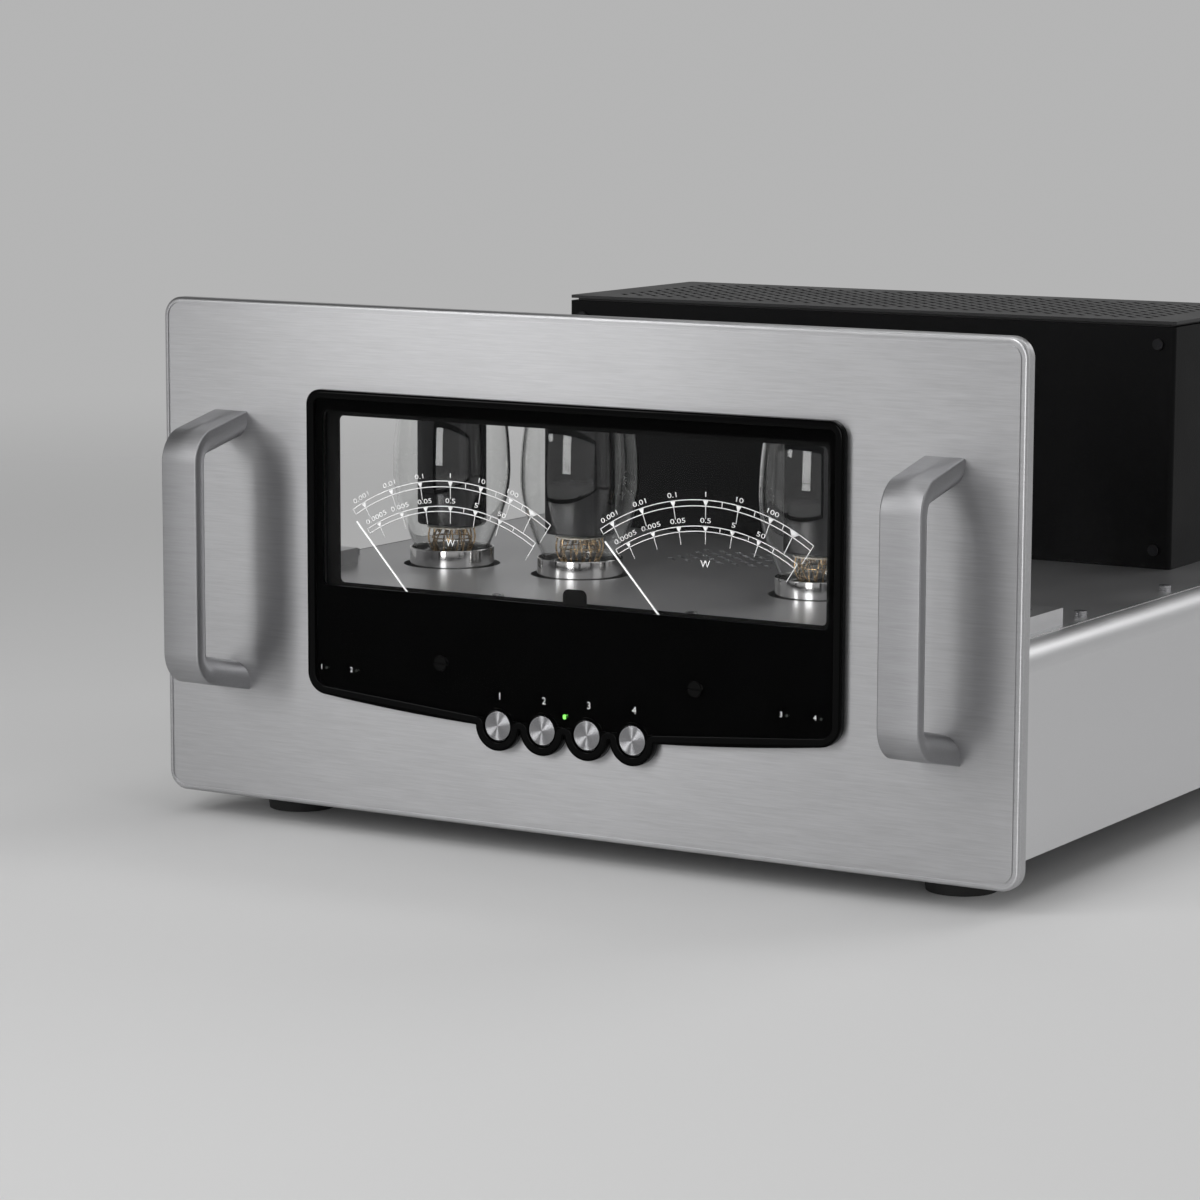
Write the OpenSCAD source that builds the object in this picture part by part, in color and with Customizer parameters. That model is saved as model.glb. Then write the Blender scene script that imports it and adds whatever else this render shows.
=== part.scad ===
// Stereo valve power amplifier with see-through meters, in millimetres.
// X runs to the right, Y runs back from the front, Z is up from the floor.
// The origin is on the floor, in the middle of the overall box.
// "d" values below are distances behind the front face of the front panel,
// "h" values on the panel are heights above its lower edge.

/* [Front panel] */
// Width of the front panel
panel_w = 482.6; // [470:0.1:500]
// Height of the front panel
panel_h = 254; // [240:1:270]
// Thickness of the front panel
panel_t = 6; // [5:0.5:9]
// Corner radius of the front panel
panel_corner_r = 10; // [6:0.5:16]
// Rounding of the panel's front edge
panel_edge_r = 1.8; // [0.6:0.1:2.2]
// Gap between the floor and the panel's lower edge
panel_lift = 12; // [8:1:18]
// Distance of the border groove from the edge
border_inset = 2.5; // [2.3:0.1:6]
// Width of the border groove
border_groove_w = 1.6; // [0.6:0.1:3]
// Depth of the border groove
border_groove_t = 0.6; // [0.2:0.1:1.2]

/* [Handles] */
// Distance between the two handles' middles
handle_pitch = 400; // [380:1:420]
// Height of a handle where it meets the panel
handle_span = 142; // [116:1:170]
// How far a handle stands out from the panel
handle_reach = 44; // [36:0.5:55]
// Slope of a handle's arms towards its middle, in degrees
handle_lean = 12.3; // [0:0.1:15]
// Width of the handle bar
handle_bar_w = 21; // [14:0.5:24]
// Straight part of the handle bar's side, before its inner side turns half round
handle_edge_t = 3.5; // [3:0.1:4]
// Outer bend radius of the handle
handle_bend_r = 17; // [16.5:0.5:20]
// Diameter of the handle screws
handle_screw_d = 3; // [2.5:0.1:3.4]

/* [Fascia] */
// Width of the black field on each side of the window
fascia_side = 12.9; // [12.5:0.1:22]
// Height of the fascia's top edge
fascia_top = 211.6; // [208:0.1:225]
// Height of the fascia's lowest edge, in the middle
fascia_low = 50.7; // [46:0.1:54]
// Radius of the fascia's curved lower edge
fascia_arc_r = 1240; // [900:10:2000]
// Radius of the fascia's top corners
fascia_top_r = 7.5; // [5:0.5:12]
// Radius of the fascia's lower corners
fascia_foot_r = 11; // [8:0.5:16]
// Width of the raised rim
fascia_rim_w = 4; // [2:0.5:5]
// How far the rim stands out from the panel
fascia_proud = 4; // [3.5:0.1:6]
// Thickness of the clear pane
pane_t = 2; // [1.5:0.1:2.2]
// How far the pane lies behind the rim
pane_sink = 0.8; // [0.3:0.1:1]
// Width of the window
window_w = 275; // [255:1:280]
// Height of the window
window_h = 83.8; // [70:0.1:90]
// Height of the window's middle
window_mid = 156.4; // [154:0.1:160]
// Thickness of the black mask plate
mask_t = 1; // [0.6:0.1:2]
// Thickness of the clear scale plate
scale_t = 1.5; // [1:0.1:3]

/* [Meters] */
// Distance between the two meters' middles
meter_pitch = 144; // [136:1:150]
// Height of the needle pivots
pivot_h = 87.5; // [86:0.5:89]
// Length of a needle from its pivot
needle_len = 79; // [66:1:88]
// Width of a needle
needle_w = 0.8; // [0.8:0.1:2.5]
// Resting angle of a needle, left of upright
needle_rest = 42; // [30:1:45]
// Diameter of a meter movement
movement_dia = 34; // [28:1:34]
// Length of a meter movement
movement_l = 24; // [15:1:40]
// Height of the zero-adjust screws
zero_screw_h = 80; // [79:0.5:82]
// Diameter of a zero-adjust screw
zero_screw_dia = 7.5; // [5:0.1:8]

/* [Buttons] */
// Distance between neighbouring buttons
button_pitch = 25.4; // [25:0.1:28]
// Height of the buttons' middles
button_h = 52; // [50:0.1:54]
// Diameter of a button cap
button_dia = 14.8; // [12:0.1:17]
// How far a button goes in
button_travel = 1.8; // [1:0.1:2]
// How far a resting cap stands out from the rim, below zero where it lies inside
button_stand = -0.4; // [-0.5:0.1:3]
// Outer radius of the scallop round a button
scallop_r = 12.3; // [11.5:0.1:12.5]

/* [Lamps] */
// Diameter of the status lamp
lamp_dia = 2.2; // [1.5:0.1:3]
// Height of the status lamp
lamp_h = 60; // [59:0.5:61]
// Diameter of a bias lamp
bias_lamp_dia = 1.4; // [1:0.1:2]
// Height of the bias lamps
bias_lamp_h = 72; // [71:0.5:74]
// Distance of the outer bias lamps from the fascia's side
bias_lamp_inset = 10.5; // [9:0.5:14]
// Distance between two neighbouring bias lamps
bias_lamp_pitch = 18; // [10:1:24]

/* [Chassis] */
// Width over the side panels
chassis_w = 464; // [455:1:468]
// Depth from the panel's front to the rear panel's back
chassis_depth = 455; // [448:1:490]
// Height of the chassis above the floor
foot_h = 22; // [16:1:26]
// Height of the deck's top above the floor
deck_h = 121.5; // [120:0.5:126]
// Radius of the rolled upper edge
roll_r = 12; // [10:0.5:16]
// Thickness of the chassis sheets
sheet_t = 3; // [2:0.1:3.4]
// Thickness of the bottom plate
bottom_t = 2; // [1.5:0.1:3]
// Gap between the panel's back and the deck
deck_gap = 6; // [4:0.5:9]
// Diameter of a foot
foot_dia = 40; // [30:1:50]
// Length of a fixing block behind the panel
block_l = 94; // [60:1:98]
// Height of a fixing block
block_h = 8; // [5:0.5:12]
// Head diameter of the deck screws
deck_screw_dia = 6; // [5.5:0.1:9]

/* [Tubes] */
// Distance of the inner power tubes from the middle
tube_inner_x = 70; // [66:1:74]
// Distance of the outer power tubes from the middle
tube_outer_x = 149; // [145:1:153]
// Distance of the power tubes behind the panel's front
tube_row_d = 126.5; // [120:0.5:132]
// Diameter of the deck holes round the power tubes
tube_hole_dia = 51; // [48:0.5:56]
// Diameter of a power tube's base
tube_base_dia = 44.5; // [43:0.5:46]
// Height of a base above the deck
tube_base_h = 9; // [6:0.5:14]
// Largest diameter of a power tube
tube_dia = 62; // [54:0.5:66]
// Height of a power tube's top above the deck
tube_h = 128; // [115:1:134]
// Height of a power tube's widest place above the deck
tube_wide_h = 50; // [46:1:66]
// Wall thickness of the glass
glass_t = 1.2; // [0.8:0.1:1.6]
// Distance of the driver tubes from the middle
driver_x = 110; // [104:1:116]
// Distance of the driver tubes behind the panel's front
driver_row_d = 202; // [196:1:208]
// Diameter of a driver tube
driver_dia = 22; // [20:0.5:23]
// Height of a driver tube
driver_h = 56; // [48:1:62]

/* [Vents] */
// Width of the vent slots
slot_w = 2.6; // [1.5:0.1:3.5]
// Length of the vent slots
slot_l = 9.5; // [6:0.1:10]
// Distance between neighbouring slots
slot_pitch = 9.7; // [9:0.1:12]
// Width of the slotted field on the deck
deck_vent_w = 132; // [100:1:150]
// Depth of the slotted field on the deck
deck_vent_l = 50; // [30:1:56]
// Distance of the slotted field behind the panel's front
deck_vent_d = 221; // [215:1:228]

/* [Rear cover] */
// Width of the rear cover
cover_w = 368; // [356:1:380]
// Distance of the cover's front wall behind the panel's front
cover_d = 302; // [294:1:308]
// Depth of the rear cover
cover_l = 138; // [134:1:142]
// Height of the cover's top above the floor
cover_top = 251.5; // [245:0.5:262]
// Thickness of the cover's sheet
cover_t = 2; // [1.2:0.1:2.5]
// Thickness of the slotted top plate
grille_t = 1.6; // [1:0.1:2.5]
// Height of the shadow gap under the top plate
shadow_gap = 1.4; // [0.8:0.1:3]

/* [Transformers] */
// Width of the power transformer's core
power_core_w = 118; // [100:1:124]
// Width of an output transformer's core
output_core_w = 92; // [80:1:96]
// Distance of the output transformers from the middle
output_x = 120; // [116:1:126]

/* [Circuit] */
// Length of the main board's stand-offs
standoff_l = 18.5; // [16:0.5:24]
// Thickness of the circuit boards
board_t = 1.6; // [1:0.1:2.4]
// Diameter of a filter capacitor
capacitor_dia = 35; // [22:1:40]
// Length of a filter capacitor
capacitor_l = 52; // [30:1:60]

/* [Rear sockets] */
// Length of the speaker posts behind the rear panel
post_reach = 22; // [18:0.5:28]
// Diameter of a speaker post's stud
post_stud_dia = 6.6; // [6:0.1:7.5]
// Diameter of the plug bore in a speaker post
post_bore_dia = 4.05; // [3.9:0.05:4.3]
// Diameter of a speaker knob
post_knob_dia = 15; // [12:0.5:18]
// Distance between neighbouring speaker posts
post_pitch = 26; // [22:1:30]
// Outer diameter of a phono jack's barrel
phono_dia = 8.3; // [8:0.1:8.6]

/* [Hidden] */
$fn = 64;

// Small overshoot of cuts
eps = 0.05;
// Overshoot of a cut past an edge that it crosses
cut_over = 1;
// Running clearance between moving pieces
run_gap = 0.3;
// Radial clearance of a bearing
bearing_gap = 0.05;
// Clearance of a piece that is slid into its seat
seat_gap = 0.15;
// Clearance round a button cap
button_gap = 0.4;
// Clearance of a screw in its hole, on the diameter
screw_gap = 0.4;

// Overall depth and where the panel's front face lies in it
overall_l = handle_reach + chassis_depth + post_reach;
panel_y = handle_reach - overall_l / 2;
rear_y = panel_y + chassis_depth;
panel_back = panel_y + panel_t;
panel_mid_h = panel_h / 2;

// Fascia outline
fascia_w = window_w + 2 * fascia_side;
fascia_arc_h = fascia_low + fascia_arc_r;
rim_y = panel_y - fascia_proud;
pane_y = rim_y + pane_sink;
backing_y = pane_y + pane_t;
scallop_hole_r = button_dia / 2 + button_gap;
lip_w = 1;
lip_r = scallop_hole_r + lip_w;
cutout_margin = 8;
cutout_r = 5;
cutout_drop = 12;
cutout_low = zero_screw_h - cutout_drop;
window_low = window_mid - window_h / 2;
window_high = window_mid + window_h / 2;
window_r = 2.5;
front_margin = 5;
front_top_margin = 3;
front_low_margin = 0.8;
mask_lap = 4;
scale_lap = 3.5;
mask_y = panel_back;
scale_y = mask_y + mask_t;
tab_w = 13;
tab_rise = 6.5;

// Needles, from the front: zero screw, running gap, hub on the spindle
zero_flange_t = 0.8;
zero_flange_over = 2;
zero_slot_w = 1;
zero_slot_t = 1;
hub_dia = 9;
hub_y = panel_y + zero_flange_t + 3 * run_gap;
hub_t = 2.6;
spindle_dia = 2;
spindle_inset = 0.2;
spindle_hole_over = 4;
spindle_hole_dia = spindle_dia + spindle_hole_over;
needle_t = 0.5;
blade_inset = 1;
needle_y = hub_y + blade_inset;
needle_tail = 9;

// Buttons
cap_t = fascia_proud + button_stand - button_travel - run_gap;
cap_edge_r = 0.5;
button_y = rim_y - button_stand;
stem_dia = 7;
switch_gap = 0.4;
stem_past_panel = 3;
stem_end_y = panel_back + stem_past_panel;
switch_y = stem_end_y + button_travel + switch_gap;
switch_w = 9;
switch_t = 4;
switch_board_y = switch_y + switch_t;
switch_board_over = 4;
switch_board_drop = 12;
switch_board_w = 4 * button_pitch + 2 * switch_board_over;
switch_board_low = button_h - switch_board_drop;
switch_board_high = lamp_h + switch_board_over;
board_post_dia = 6;

// Chassis levels
side_x = chassis_w / 2;
inner_x = side_x - sheet_t;
bottom_z = foot_h;
flange_z = bottom_z + bottom_t;
flange_w = 17;
deck_x = side_x - roll_r;
deck_low = deck_h - sheet_t;
ledge_w = 15;
ledge_root = 4;
deck_front = panel_back + deck_gap;
deck_back = rear_y - sheet_t - seat_gap;
block_w = 24;
block_inset = 17;
block_x = deck_x - block_inset;
block_hole_dia = 5;
block_hole_front = 20;
block_hole_rear = 14;
block_hole_ds = [block_hole_front, block_l - block_hole_rear];
foot_side_inset = 42;
foot_x = side_x - foot_side_inset;
foot_front_d = 46;
foot_rear_inset = 45;
foot_taper = 6;
deck_screw_head_t = 3;
deck_screw_shank = 4;
deck_screw_inset = 8;
deck_screw_x = deck_x - deck_screw_inset;
deck_screw_first_d = 127;
deck_screw_last_d = 436;
deck_screw_count = 4;
deck_front_screw_x = 55;
deck_front_screw_inset = 12;
deck_front_screw_y = deck_front + deck_front_screw_inset;
hex_t = 2;

// Tubes
base_sink = 4;
glass_seat = 4;
glass_low = deck_h + glass_seat;
base_wall = 2.2;
tube_neck_r = tube_base_dia / 2 - base_wall;
pin_circle_r = 9;
pin_dia = 2.4;
pin_l = 10;
socket_dia = 40;
board_top = deck_low - standoff_l;
base_low = deck_h - base_sink;
tube_xs = [-tube_outer_x, -tube_inner_x, tube_inner_x, tube_outer_x];
tube_y = panel_y + tube_row_d;
driver_y = panel_y + driver_row_d;
driver_sink = 2;
driver_low = deck_h - driver_sink;
driver_hole_over = 6;
driver_hole_dia = driver_dia + driver_hole_over;

// Rear cover
cover_y = panel_y + cover_d;
cover_back = cover_y + cover_l;
cover_r = 2.5;
grille_low = cover_top - grille_t;
wall_top = grille_low - shadow_gap;
cover_flange = 10;
skirt_inset = 3.5;
skirt_w = 5;
grille_border = 15;
cover_screw_dia = 6;
cover_screw_shank = 3;
cover_screw_head_t = 1.6;
cover_screw_l = 6;

// Rear sockets
rear_inner = rear_y - sheet_t;
post_drop = 48;
post_first_x = 52;
post_h = deck_low - post_drop;
post_xs = [for (side = [-1, 1]) for (i = [0:2]) side * (post_first_x + i * post_pitch)];
collar_l = 4;
knob_gap = 0.4;
inlet_w = 27.6;
inlet_h = 20.4;
inlet_rise = 36;
inlet_z = foot_h + inlet_rise;
inlet_l = 22;
inlet_wall = 1.8;
jack_x = 168;
xlr_drop = 30;
phono_rise = 24;
xlr_z = deck_low - xlr_drop;
phono_z = foot_h + phono_rise;

// Height on the panel to height above the floor
function up(h) = panel_lift + h;

// Plan of a rectangle with round corners, centred
module round_rect(w, l, r) {
  square([w - 2 * r, l], center = true);
  square([w, l - 2 * r], center = true);
  for (sx = [-1, 1])
    for (sy = [-1, 1])
      translate([sx * (w / 2 - r), sy * (l / 2 - r)]) circle(r);
}

// Outline in X and Z, drawn out along Y from y0 to y1
module along_y(y0, y1) {
  translate([0, y1, 0]) rotate([90, 0, 0]) linear_extrude(y1 - y0) children();
}

// Outline in Y and Z, drawn out along X from x0 to x1
module along_x(x0, x1) {
  translate([x0, 0, 0]) rotate([90, 0, 90]) linear_extrude(x1 - x0) children();
}

// Outline in X and Y, drawn out along Z from z0 to z1
module along_z(z0, z1) {
  translate([0, 0, z0]) linear_extrude(z1 - z0) children();
}

// Round bar along Y
module bar_y(x, z, y0, y1, dia) {
  translate([x, y0, z]) rotate([-90, 0, 0]) cylinder(d = dia, h = y1 - y0);
}

// Round bar along Z
module bar_z(x, y, z0, z1, dia) {
  translate([x, y, z0]) cylinder(d = dia, h = z1 - z0);
}

module mirrored() {
  mirror([1, 0, 0]) children();
}

// Corner of the panel with its rounded front edge, axis along Y
module panel_corner() {
  rotate([-90, 0, 0]) rotate_extrude($fn = 96) {
    translate([0, panel_edge_r]) square([panel_corner_r, panel_t - panel_edge_r]);
    square([panel_corner_r - panel_edge_r, panel_t]);
    intersection() {
      translate([panel_corner_r - panel_edge_r, panel_edge_r]) circle(panel_edge_r, $fn = 24);
      square([panel_corner_r, panel_t]);
    }
  }
}

module panel_border(inset) {
  round_rect(panel_w - 2 * inset, panel_h - 2 * inset, panel_corner_r - inset);
}

handle_screw_depth = 8;
handle_screw_tip = 1;
handle_screw_head_t = 3;
// Height of a handle bend's centre over the handle's middle
handle_bend_rise = handle_span / 2 - tan(handle_lean) * (handle_reach - handle_bend_r)
  - handle_bend_r / cos(handle_lean);
handle_bar_t = handle_edge_t + handle_bar_w / 2;
handle_foot_t = handle_bar_t / cos(handle_lean);
handle_bend_y = handle_bend_r - handle_reach;
// Angle that each side of the half round takes up, and number of steps in a bend
handle_facet = 15;
handle_bend_steps = 12;
// Heights of the handle screws on the panel, each in the middle of its sloping arm
handle_screw_rise = handle_span / 2 - handle_foot_t / 2 - tan(handle_lean) * handle_screw_depth / 2;
handle_screw_hs = [panel_mid_h - handle_screw_rise, panel_mid_h + handle_screw_rise];

module panel_cutout() {
  w = window_w + 2 * cutout_margin;
  high = window_high + cutout_margin / 2;
  translate([0, up((cutout_low + high) / 2)]) round_rect(w, high - cutout_low, cutout_r);
}

module front_panel() color("gainsboro") difference() {
  hull()
    for (sx = [-1, 1])
      for (h = [panel_corner_r, panel_h - panel_corner_r])
        translate([sx * (panel_w / 2 - panel_corner_r), panel_y, up(h)]) panel_corner();
  along_y(panel_y - eps, panel_y + border_groove_t) translate([0, up(panel_mid_h)]) difference() {
    panel_border(border_inset);
    panel_border(border_inset + border_groove_w);
  }
  along_y(panel_y - eps, panel_back + eps) panel_cutout();
  for (sx = [-1, 1])
    for (h = handle_screw_hs)
      bar_y(sx * handle_pitch / 2, up(h), panel_y - eps, panel_back + eps, handle_screw_d + screw_gap);
  for (x = button_xs)
    bar_y(x, up(button_h), panel_y - eps, panel_back + eps, stem_dia + 2 * run_gap);
  bar_y(0, up(lamp_h), panel_y - eps, panel_back + eps, lamp_dia + screw_gap);
  for (x = bias_lamp_xs)
    bar_y(x, up(bias_lamp_h), panel_y - eps, panel_back + eps, bias_lamp_dia + screw_gap);
}

// Section of the handle bar: place across it and depth under its outer face
handle_section = concat(
  [[handle_bar_w / 2, 0], [-handle_bar_w / 2, 0]],
  [for (turn = [180:-handle_facet:0])
    [handle_bar_w / 2 * cos(turn), handle_edge_t + handle_bar_w / 2 * sin(turn)]]
);

// Section where an arm meets the panel, above or below the handle's middle
function handle_foot(sz) = [for (p = handle_section)
  [p[0], 0, sz * (handle_span / 2 - p[1] / cos(handle_lean))]];

// Section in a bend above or below the middle, at an angle from the front to the back over the top
function handle_turned(sz, angle) = [for (p = handle_section)
  [p[0], handle_bend_y + (handle_bend_r - p[1]) * cos(angle),
    sz * handle_bend_rise + (handle_bend_r - p[1]) * sin(angle)]];

// Bar carried from the panel round both bends and back to the panel
module handle_bar() {
  turn = (90 - handle_lean) / handle_bend_steps;
  rows = concat(
    [handle_foot(1)],
    [for (i = [0:handle_bend_steps]) handle_turned(1, 90 + handle_lean + i * turn)],
    [for (i = [0:handle_bend_steps]) handle_turned(-1, 180 + i * turn)],
    [handle_foot(-1)]
  );
  n = len(handle_section);
  last = (len(rows) - 1) * n;
  polyhedron(
    points = [for (row = rows) for (p = row) p],
    faces = concat(
      [[for (j = [0:n - 1]) j], [for (j = [0:n - 1]) last + n - 1 - j]],
      [for (i = [0:n:last - n]) for (j = [0:n - 1]) [i + j, i + n + j, i + n + (j + 1) % n, i + (j + 1) % n]]
    )
  );
}

module handle(side) {
  x = side * handle_pitch / 2;
  difference() {
    translate([x, panel_y, up(panel_mid_h)]) handle_bar();
    for (h = handle_screw_hs)
      bar_y(x, up(h), panel_y - handle_screw_depth, panel_y + eps, handle_screw_d + 2 * bearing_gap);
  }
}

module left_handle() color("silver") handle(-1);
module right_handle() color("silver") handle(1);

module handle_screws() color("dimgray")
  for (sx = [-1, 1])
    for (h = handle_screw_hs) {
      bar_y(sx * handle_pitch / 2, up(h), panel_y - handle_screw_depth + handle_screw_tip, panel_back + eps,
        handle_screw_d);
      bar_y(sx * handle_pitch / 2, up(h), panel_back, panel_back + handle_screw_head_t, 2 * handle_screw_d);
    }

button_xs = [for (i = [-1.5:1:1.5]) i * button_pitch];

// Outline of the fascia's main field: straight sides, round corners, curved lower edge
module fascia_field(inset) {
  half = fascia_w / 2 - inset;
  top_r = fascia_top_r - inset;
  foot_r = fascia_foot_r - inset;
  arc_r = fascia_arc_r - inset;
  foot_x0 = half - foot_r;
  foot_h0 = fascia_arc_h - sqrt(pow(arc_r - foot_r, 2) - foot_x0 * foot_x0);
  touch_x = foot_x0 * arc_r / (arc_r - foot_r);
  top = fascia_top - inset;
  translate([-half, foot_h0]) square([2 * half, top - top_r - foot_h0]);
  translate([-half + top_r, foot_h0]) square([2 * (half - top_r), top - foot_h0]);
  for (sx = [-1, 1]) {
    translate([sx * (half - top_r), top - top_r]) circle(top_r);
    translate([sx * foot_x0, foot_h0]) circle(foot_r);
  }
  intersection() {
    translate([0, fascia_arc_h]) circle(arc_r, $fn = 360);
    translate([-touch_x, fascia_low - cut_over])
      square([2 * touch_x, foot_h0 - fascia_low + 2 * cut_over]);
  }
}

module at_buttons() {
  for (x = button_xs) translate([x, button_h]) children();
}

module at_pivots() {
  for (sx = [-1, 1]) translate([sx * meter_pitch / 2, pivot_h]) children();
}

module at_zero_screws() {
  for (sx = [-1, 1]) translate([sx * meter_pitch / 2, zero_screw_h]) children();
}

bias_lamp_outer_x = fascia_w / 2 - bias_lamp_inset;
bias_lamp_xs = [for (side = [-1, 1]) for (i = [0, 1]) side * (bias_lamp_outer_x - i * bias_lamp_pitch)];

module lamp_holes() {
  translate([0, lamp_h]) circle(d = lamp_dia + screw_gap);
  for (x = bias_lamp_xs) translate([x, bias_lamp_h]) circle(d = bias_lamp_dia + screw_gap);
}

// Field that the clear pane fills inside the rim
module pane_field() difference() {
  fascia_field(fascia_rim_w);
  at_buttons() circle(lip_r);
}

module fascia() color([0.03, 0.03, 0.03]) difference() {
  along_y(rim_y, panel_y) translate([0, up(0)]) union() {
    fascia_field(0);
    at_buttons() circle(scallop_r);
  }
  along_y(rim_y - eps, backing_y) translate([0, up(0)]) pane_field();
  along_y(rim_y - eps, panel_y + eps) translate([0, up(0)]) {
    at_buttons() circle(scallop_hole_r);
    at_zero_screws() circle(d = zero_screw_dia + 2 * run_gap);
    lamp_holes();
    front_high = window_high + front_top_margin;
    front_low = window_low - front_low_margin;
    translate([0, (front_high + front_low) / 2])
      round_rect(window_w + 2 * front_margin, front_high - front_low, window_r);
  }
}

module window_pane() color([0.8, 0.85, 0.9, 0.25])
  along_y(pane_y, backing_y) translate([0, up(0)]) difference() {
    fascia_field(fascia_rim_w + seat_gap);
    at_buttons() circle(lip_r + seat_gap);
    at_zero_screws() circle(d = zero_screw_dia + 2 * run_gap);
    lamp_holes();
  }

module window_hole() difference() {
  translate([0, window_mid]) round_rect(window_w, window_h, window_r);
  translate([-tab_w / 2, window_low - cut_over]) square([tab_w, tab_rise + cut_over - tab_w / 4]);
  translate([-tab_w / 4, window_low - cut_over]) square([tab_w / 2, tab_rise + cut_over]);
  for (sx = [-1, 1]) translate([sx * tab_w / 4, window_low + tab_rise - tab_w / 4]) circle(tab_w / 4);
}

mask_low = cutout_low - mask_lap;
mask_high = window_high + cutout_margin / 2 + mask_lap;
mask_w = window_w + 2 * cutout_margin + 2 * mask_lap;

module meter_mask() color([0.02, 0.02, 0.02])
  along_y(mask_y, scale_y) translate([0, up(0)]) difference() {
    translate([-mask_w / 2, mask_low]) square([mask_w, mask_high - mask_low]);
    window_hole();
    at_pivots() circle(d = spindle_hole_dia);
  }

module scale_plate() color([0.85, 0.9, 0.9, 0.3])
  along_y(scale_y, scale_y + scale_t) translate([0, up(0)])
    translate([0, window_mid])
      round_rect(window_w + 2 * mask_lap, window_h + 2 * scale_lap, window_r);

// Needle with hub, blade and tail, pointing up from the pivot before it is laid to its rest
module needle(side) {
  translate([side * meter_pitch / 2, 0, up(pivot_h)]) rotate([0, -needle_rest, 0]) difference() {
    union() {
      bar_y(0, 0, hub_y, hub_y + hub_t, hub_dia);
      translate([-needle_w / 2, needle_y, -needle_tail]) cube([needle_w, needle_t, needle_len + needle_tail]);
    }
    bar_y(0, 0, hub_y - eps, hub_y + hub_t + eps, spindle_dia + 2 * bearing_gap);
  }
}

module left_needle() color("white") needle(-1);
module right_needle() color("white") needle(1);

module movement(side) {
  x = side * meter_pitch / 2;
  z = up(pivot_h);
  bar_y(x, z, scale_y, scale_y + movement_l, movement_dia);
  bar_y(x, z, hub_y + spindle_inset, scale_y + eps, spindle_dia);
}

module left_movement() color("dimgray") movement(-1);
module right_movement() color("dimgray") movement(1);

// Slotted screw that turns in the pane, held by a flange behind the fascia
module zero_screw(side) {
  x = side * meter_pitch / 2;
  z = up(zero_screw_h);
  difference() {
    union() {
      bar_y(x, z, pane_y, panel_y + run_gap + zero_flange_t, zero_screw_dia);
      bar_y(x, z, panel_y + run_gap, panel_y + run_gap + zero_flange_t,
        zero_screw_dia + 2 * zero_flange_over);
    }
    translate([x - zero_screw_dia / 2, pane_y - eps, z - zero_slot_w / 2])
      cube([zero_screw_dia, zero_slot_t + eps, zero_slot_w]);
  }
}

module left_zero_screw() color([0.1, 0.1, 0.1]) zero_screw(-1);
module right_zero_screw() color([0.1, 0.1, 0.1]) zero_screw(1);

module button(i) {
  x = button_xs[i];
  z = up(button_h);
  translate([x, button_y, z]) rotate([-90, 0, 0]) {
    rotate_extrude() {
      translate([0, cap_edge_r]) square([button_dia / 2, cap_t - cap_edge_r]);
      square([button_dia / 2 - cap_edge_r, cap_t]);
      intersection() {
        translate([button_dia / 2 - cap_edge_r, cap_edge_r]) circle(cap_edge_r, $fn = 24);
        square([button_dia / 2, cap_edge_r]);
      }
    }
  }
  bar_y(x, z, button_y + cap_t - eps, stem_end_y, stem_dia);
}

module button_1() color("silver") button(0);
module button_2() color("silver") button(1);
module button_3() color("silver") button(2);
module button_4() color("silver") button(3);

module switch_board() color("darkgreen") {
  translate([-switch_board_w / 2, switch_board_y, up(switch_board_low)])
    cube([switch_board_w, board_t, switch_board_high - switch_board_low]);
  for (x = button_xs)
    translate([x - switch_w / 2, switch_y, up(button_h) - switch_w / 2])
      cube([switch_w, switch_t + eps, switch_w]);
  for (sx = [-1, 1])
    for (h = [switch_board_low + board_post_dia, switch_board_high - board_post_dia])
      bar_y(sx * (switch_board_w / 2 - board_post_dia), up(h), panel_back, switch_board_y + eps,
        board_post_dia);
}

module indicator_lamps() color("limegreen") {
  bar_y(0, up(lamp_h), pane_y, switch_board_y, lamp_dia);
  for (x = bias_lamp_xs) bar_y(x, up(bias_lamp_h), pane_y, mask_y, bias_lamp_dia);
}

module fixing_blocks() color("silver")
  for (sx = [-1, 1])
    difference() {
      translate([sx * block_x - block_w / 2, panel_back, deck_h]) cube([block_w, block_l, block_h]);
      for (d = block_hole_ds)
        bar_z(sx * block_x, panel_back + d, deck_h - eps, deck_h + block_h + eps, block_hole_dia);
    }

// Section of the right side: wall, rolled edge, deck ledge and bottom flange
module side_section() {
  translate([inner_x, bottom_z]) square([sheet_t, deck_h - roll_r - bottom_z]);
  difference() {
    intersection() {
      translate([deck_x, deck_h - roll_r]) circle(roll_r);
      translate([deck_x, deck_h - roll_r]) square([roll_r, roll_r]);
    }
    translate([deck_x, deck_h - roll_r]) circle(roll_r - sheet_t);
  }
  translate([deck_x - ledge_w, deck_low - sheet_t]) square([ledge_w + ledge_root, sheet_t]);
  translate([side_x - flange_w, flange_z]) square([flange_w - eps, sheet_t]);
}

side_tab_rise = 4;
side_tab_drop = 12;
side_tab_low = flange_z + side_tab_rise;
side_tab_high = deck_low - side_tab_drop;
rear_screw_inset = 10;
rear_screw_end = 8;
rear_screw_x = side_x - rear_screw_inset;
rear_screw_zs = [side_tab_low + rear_screw_end, side_tab_high - rear_screw_end];

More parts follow.
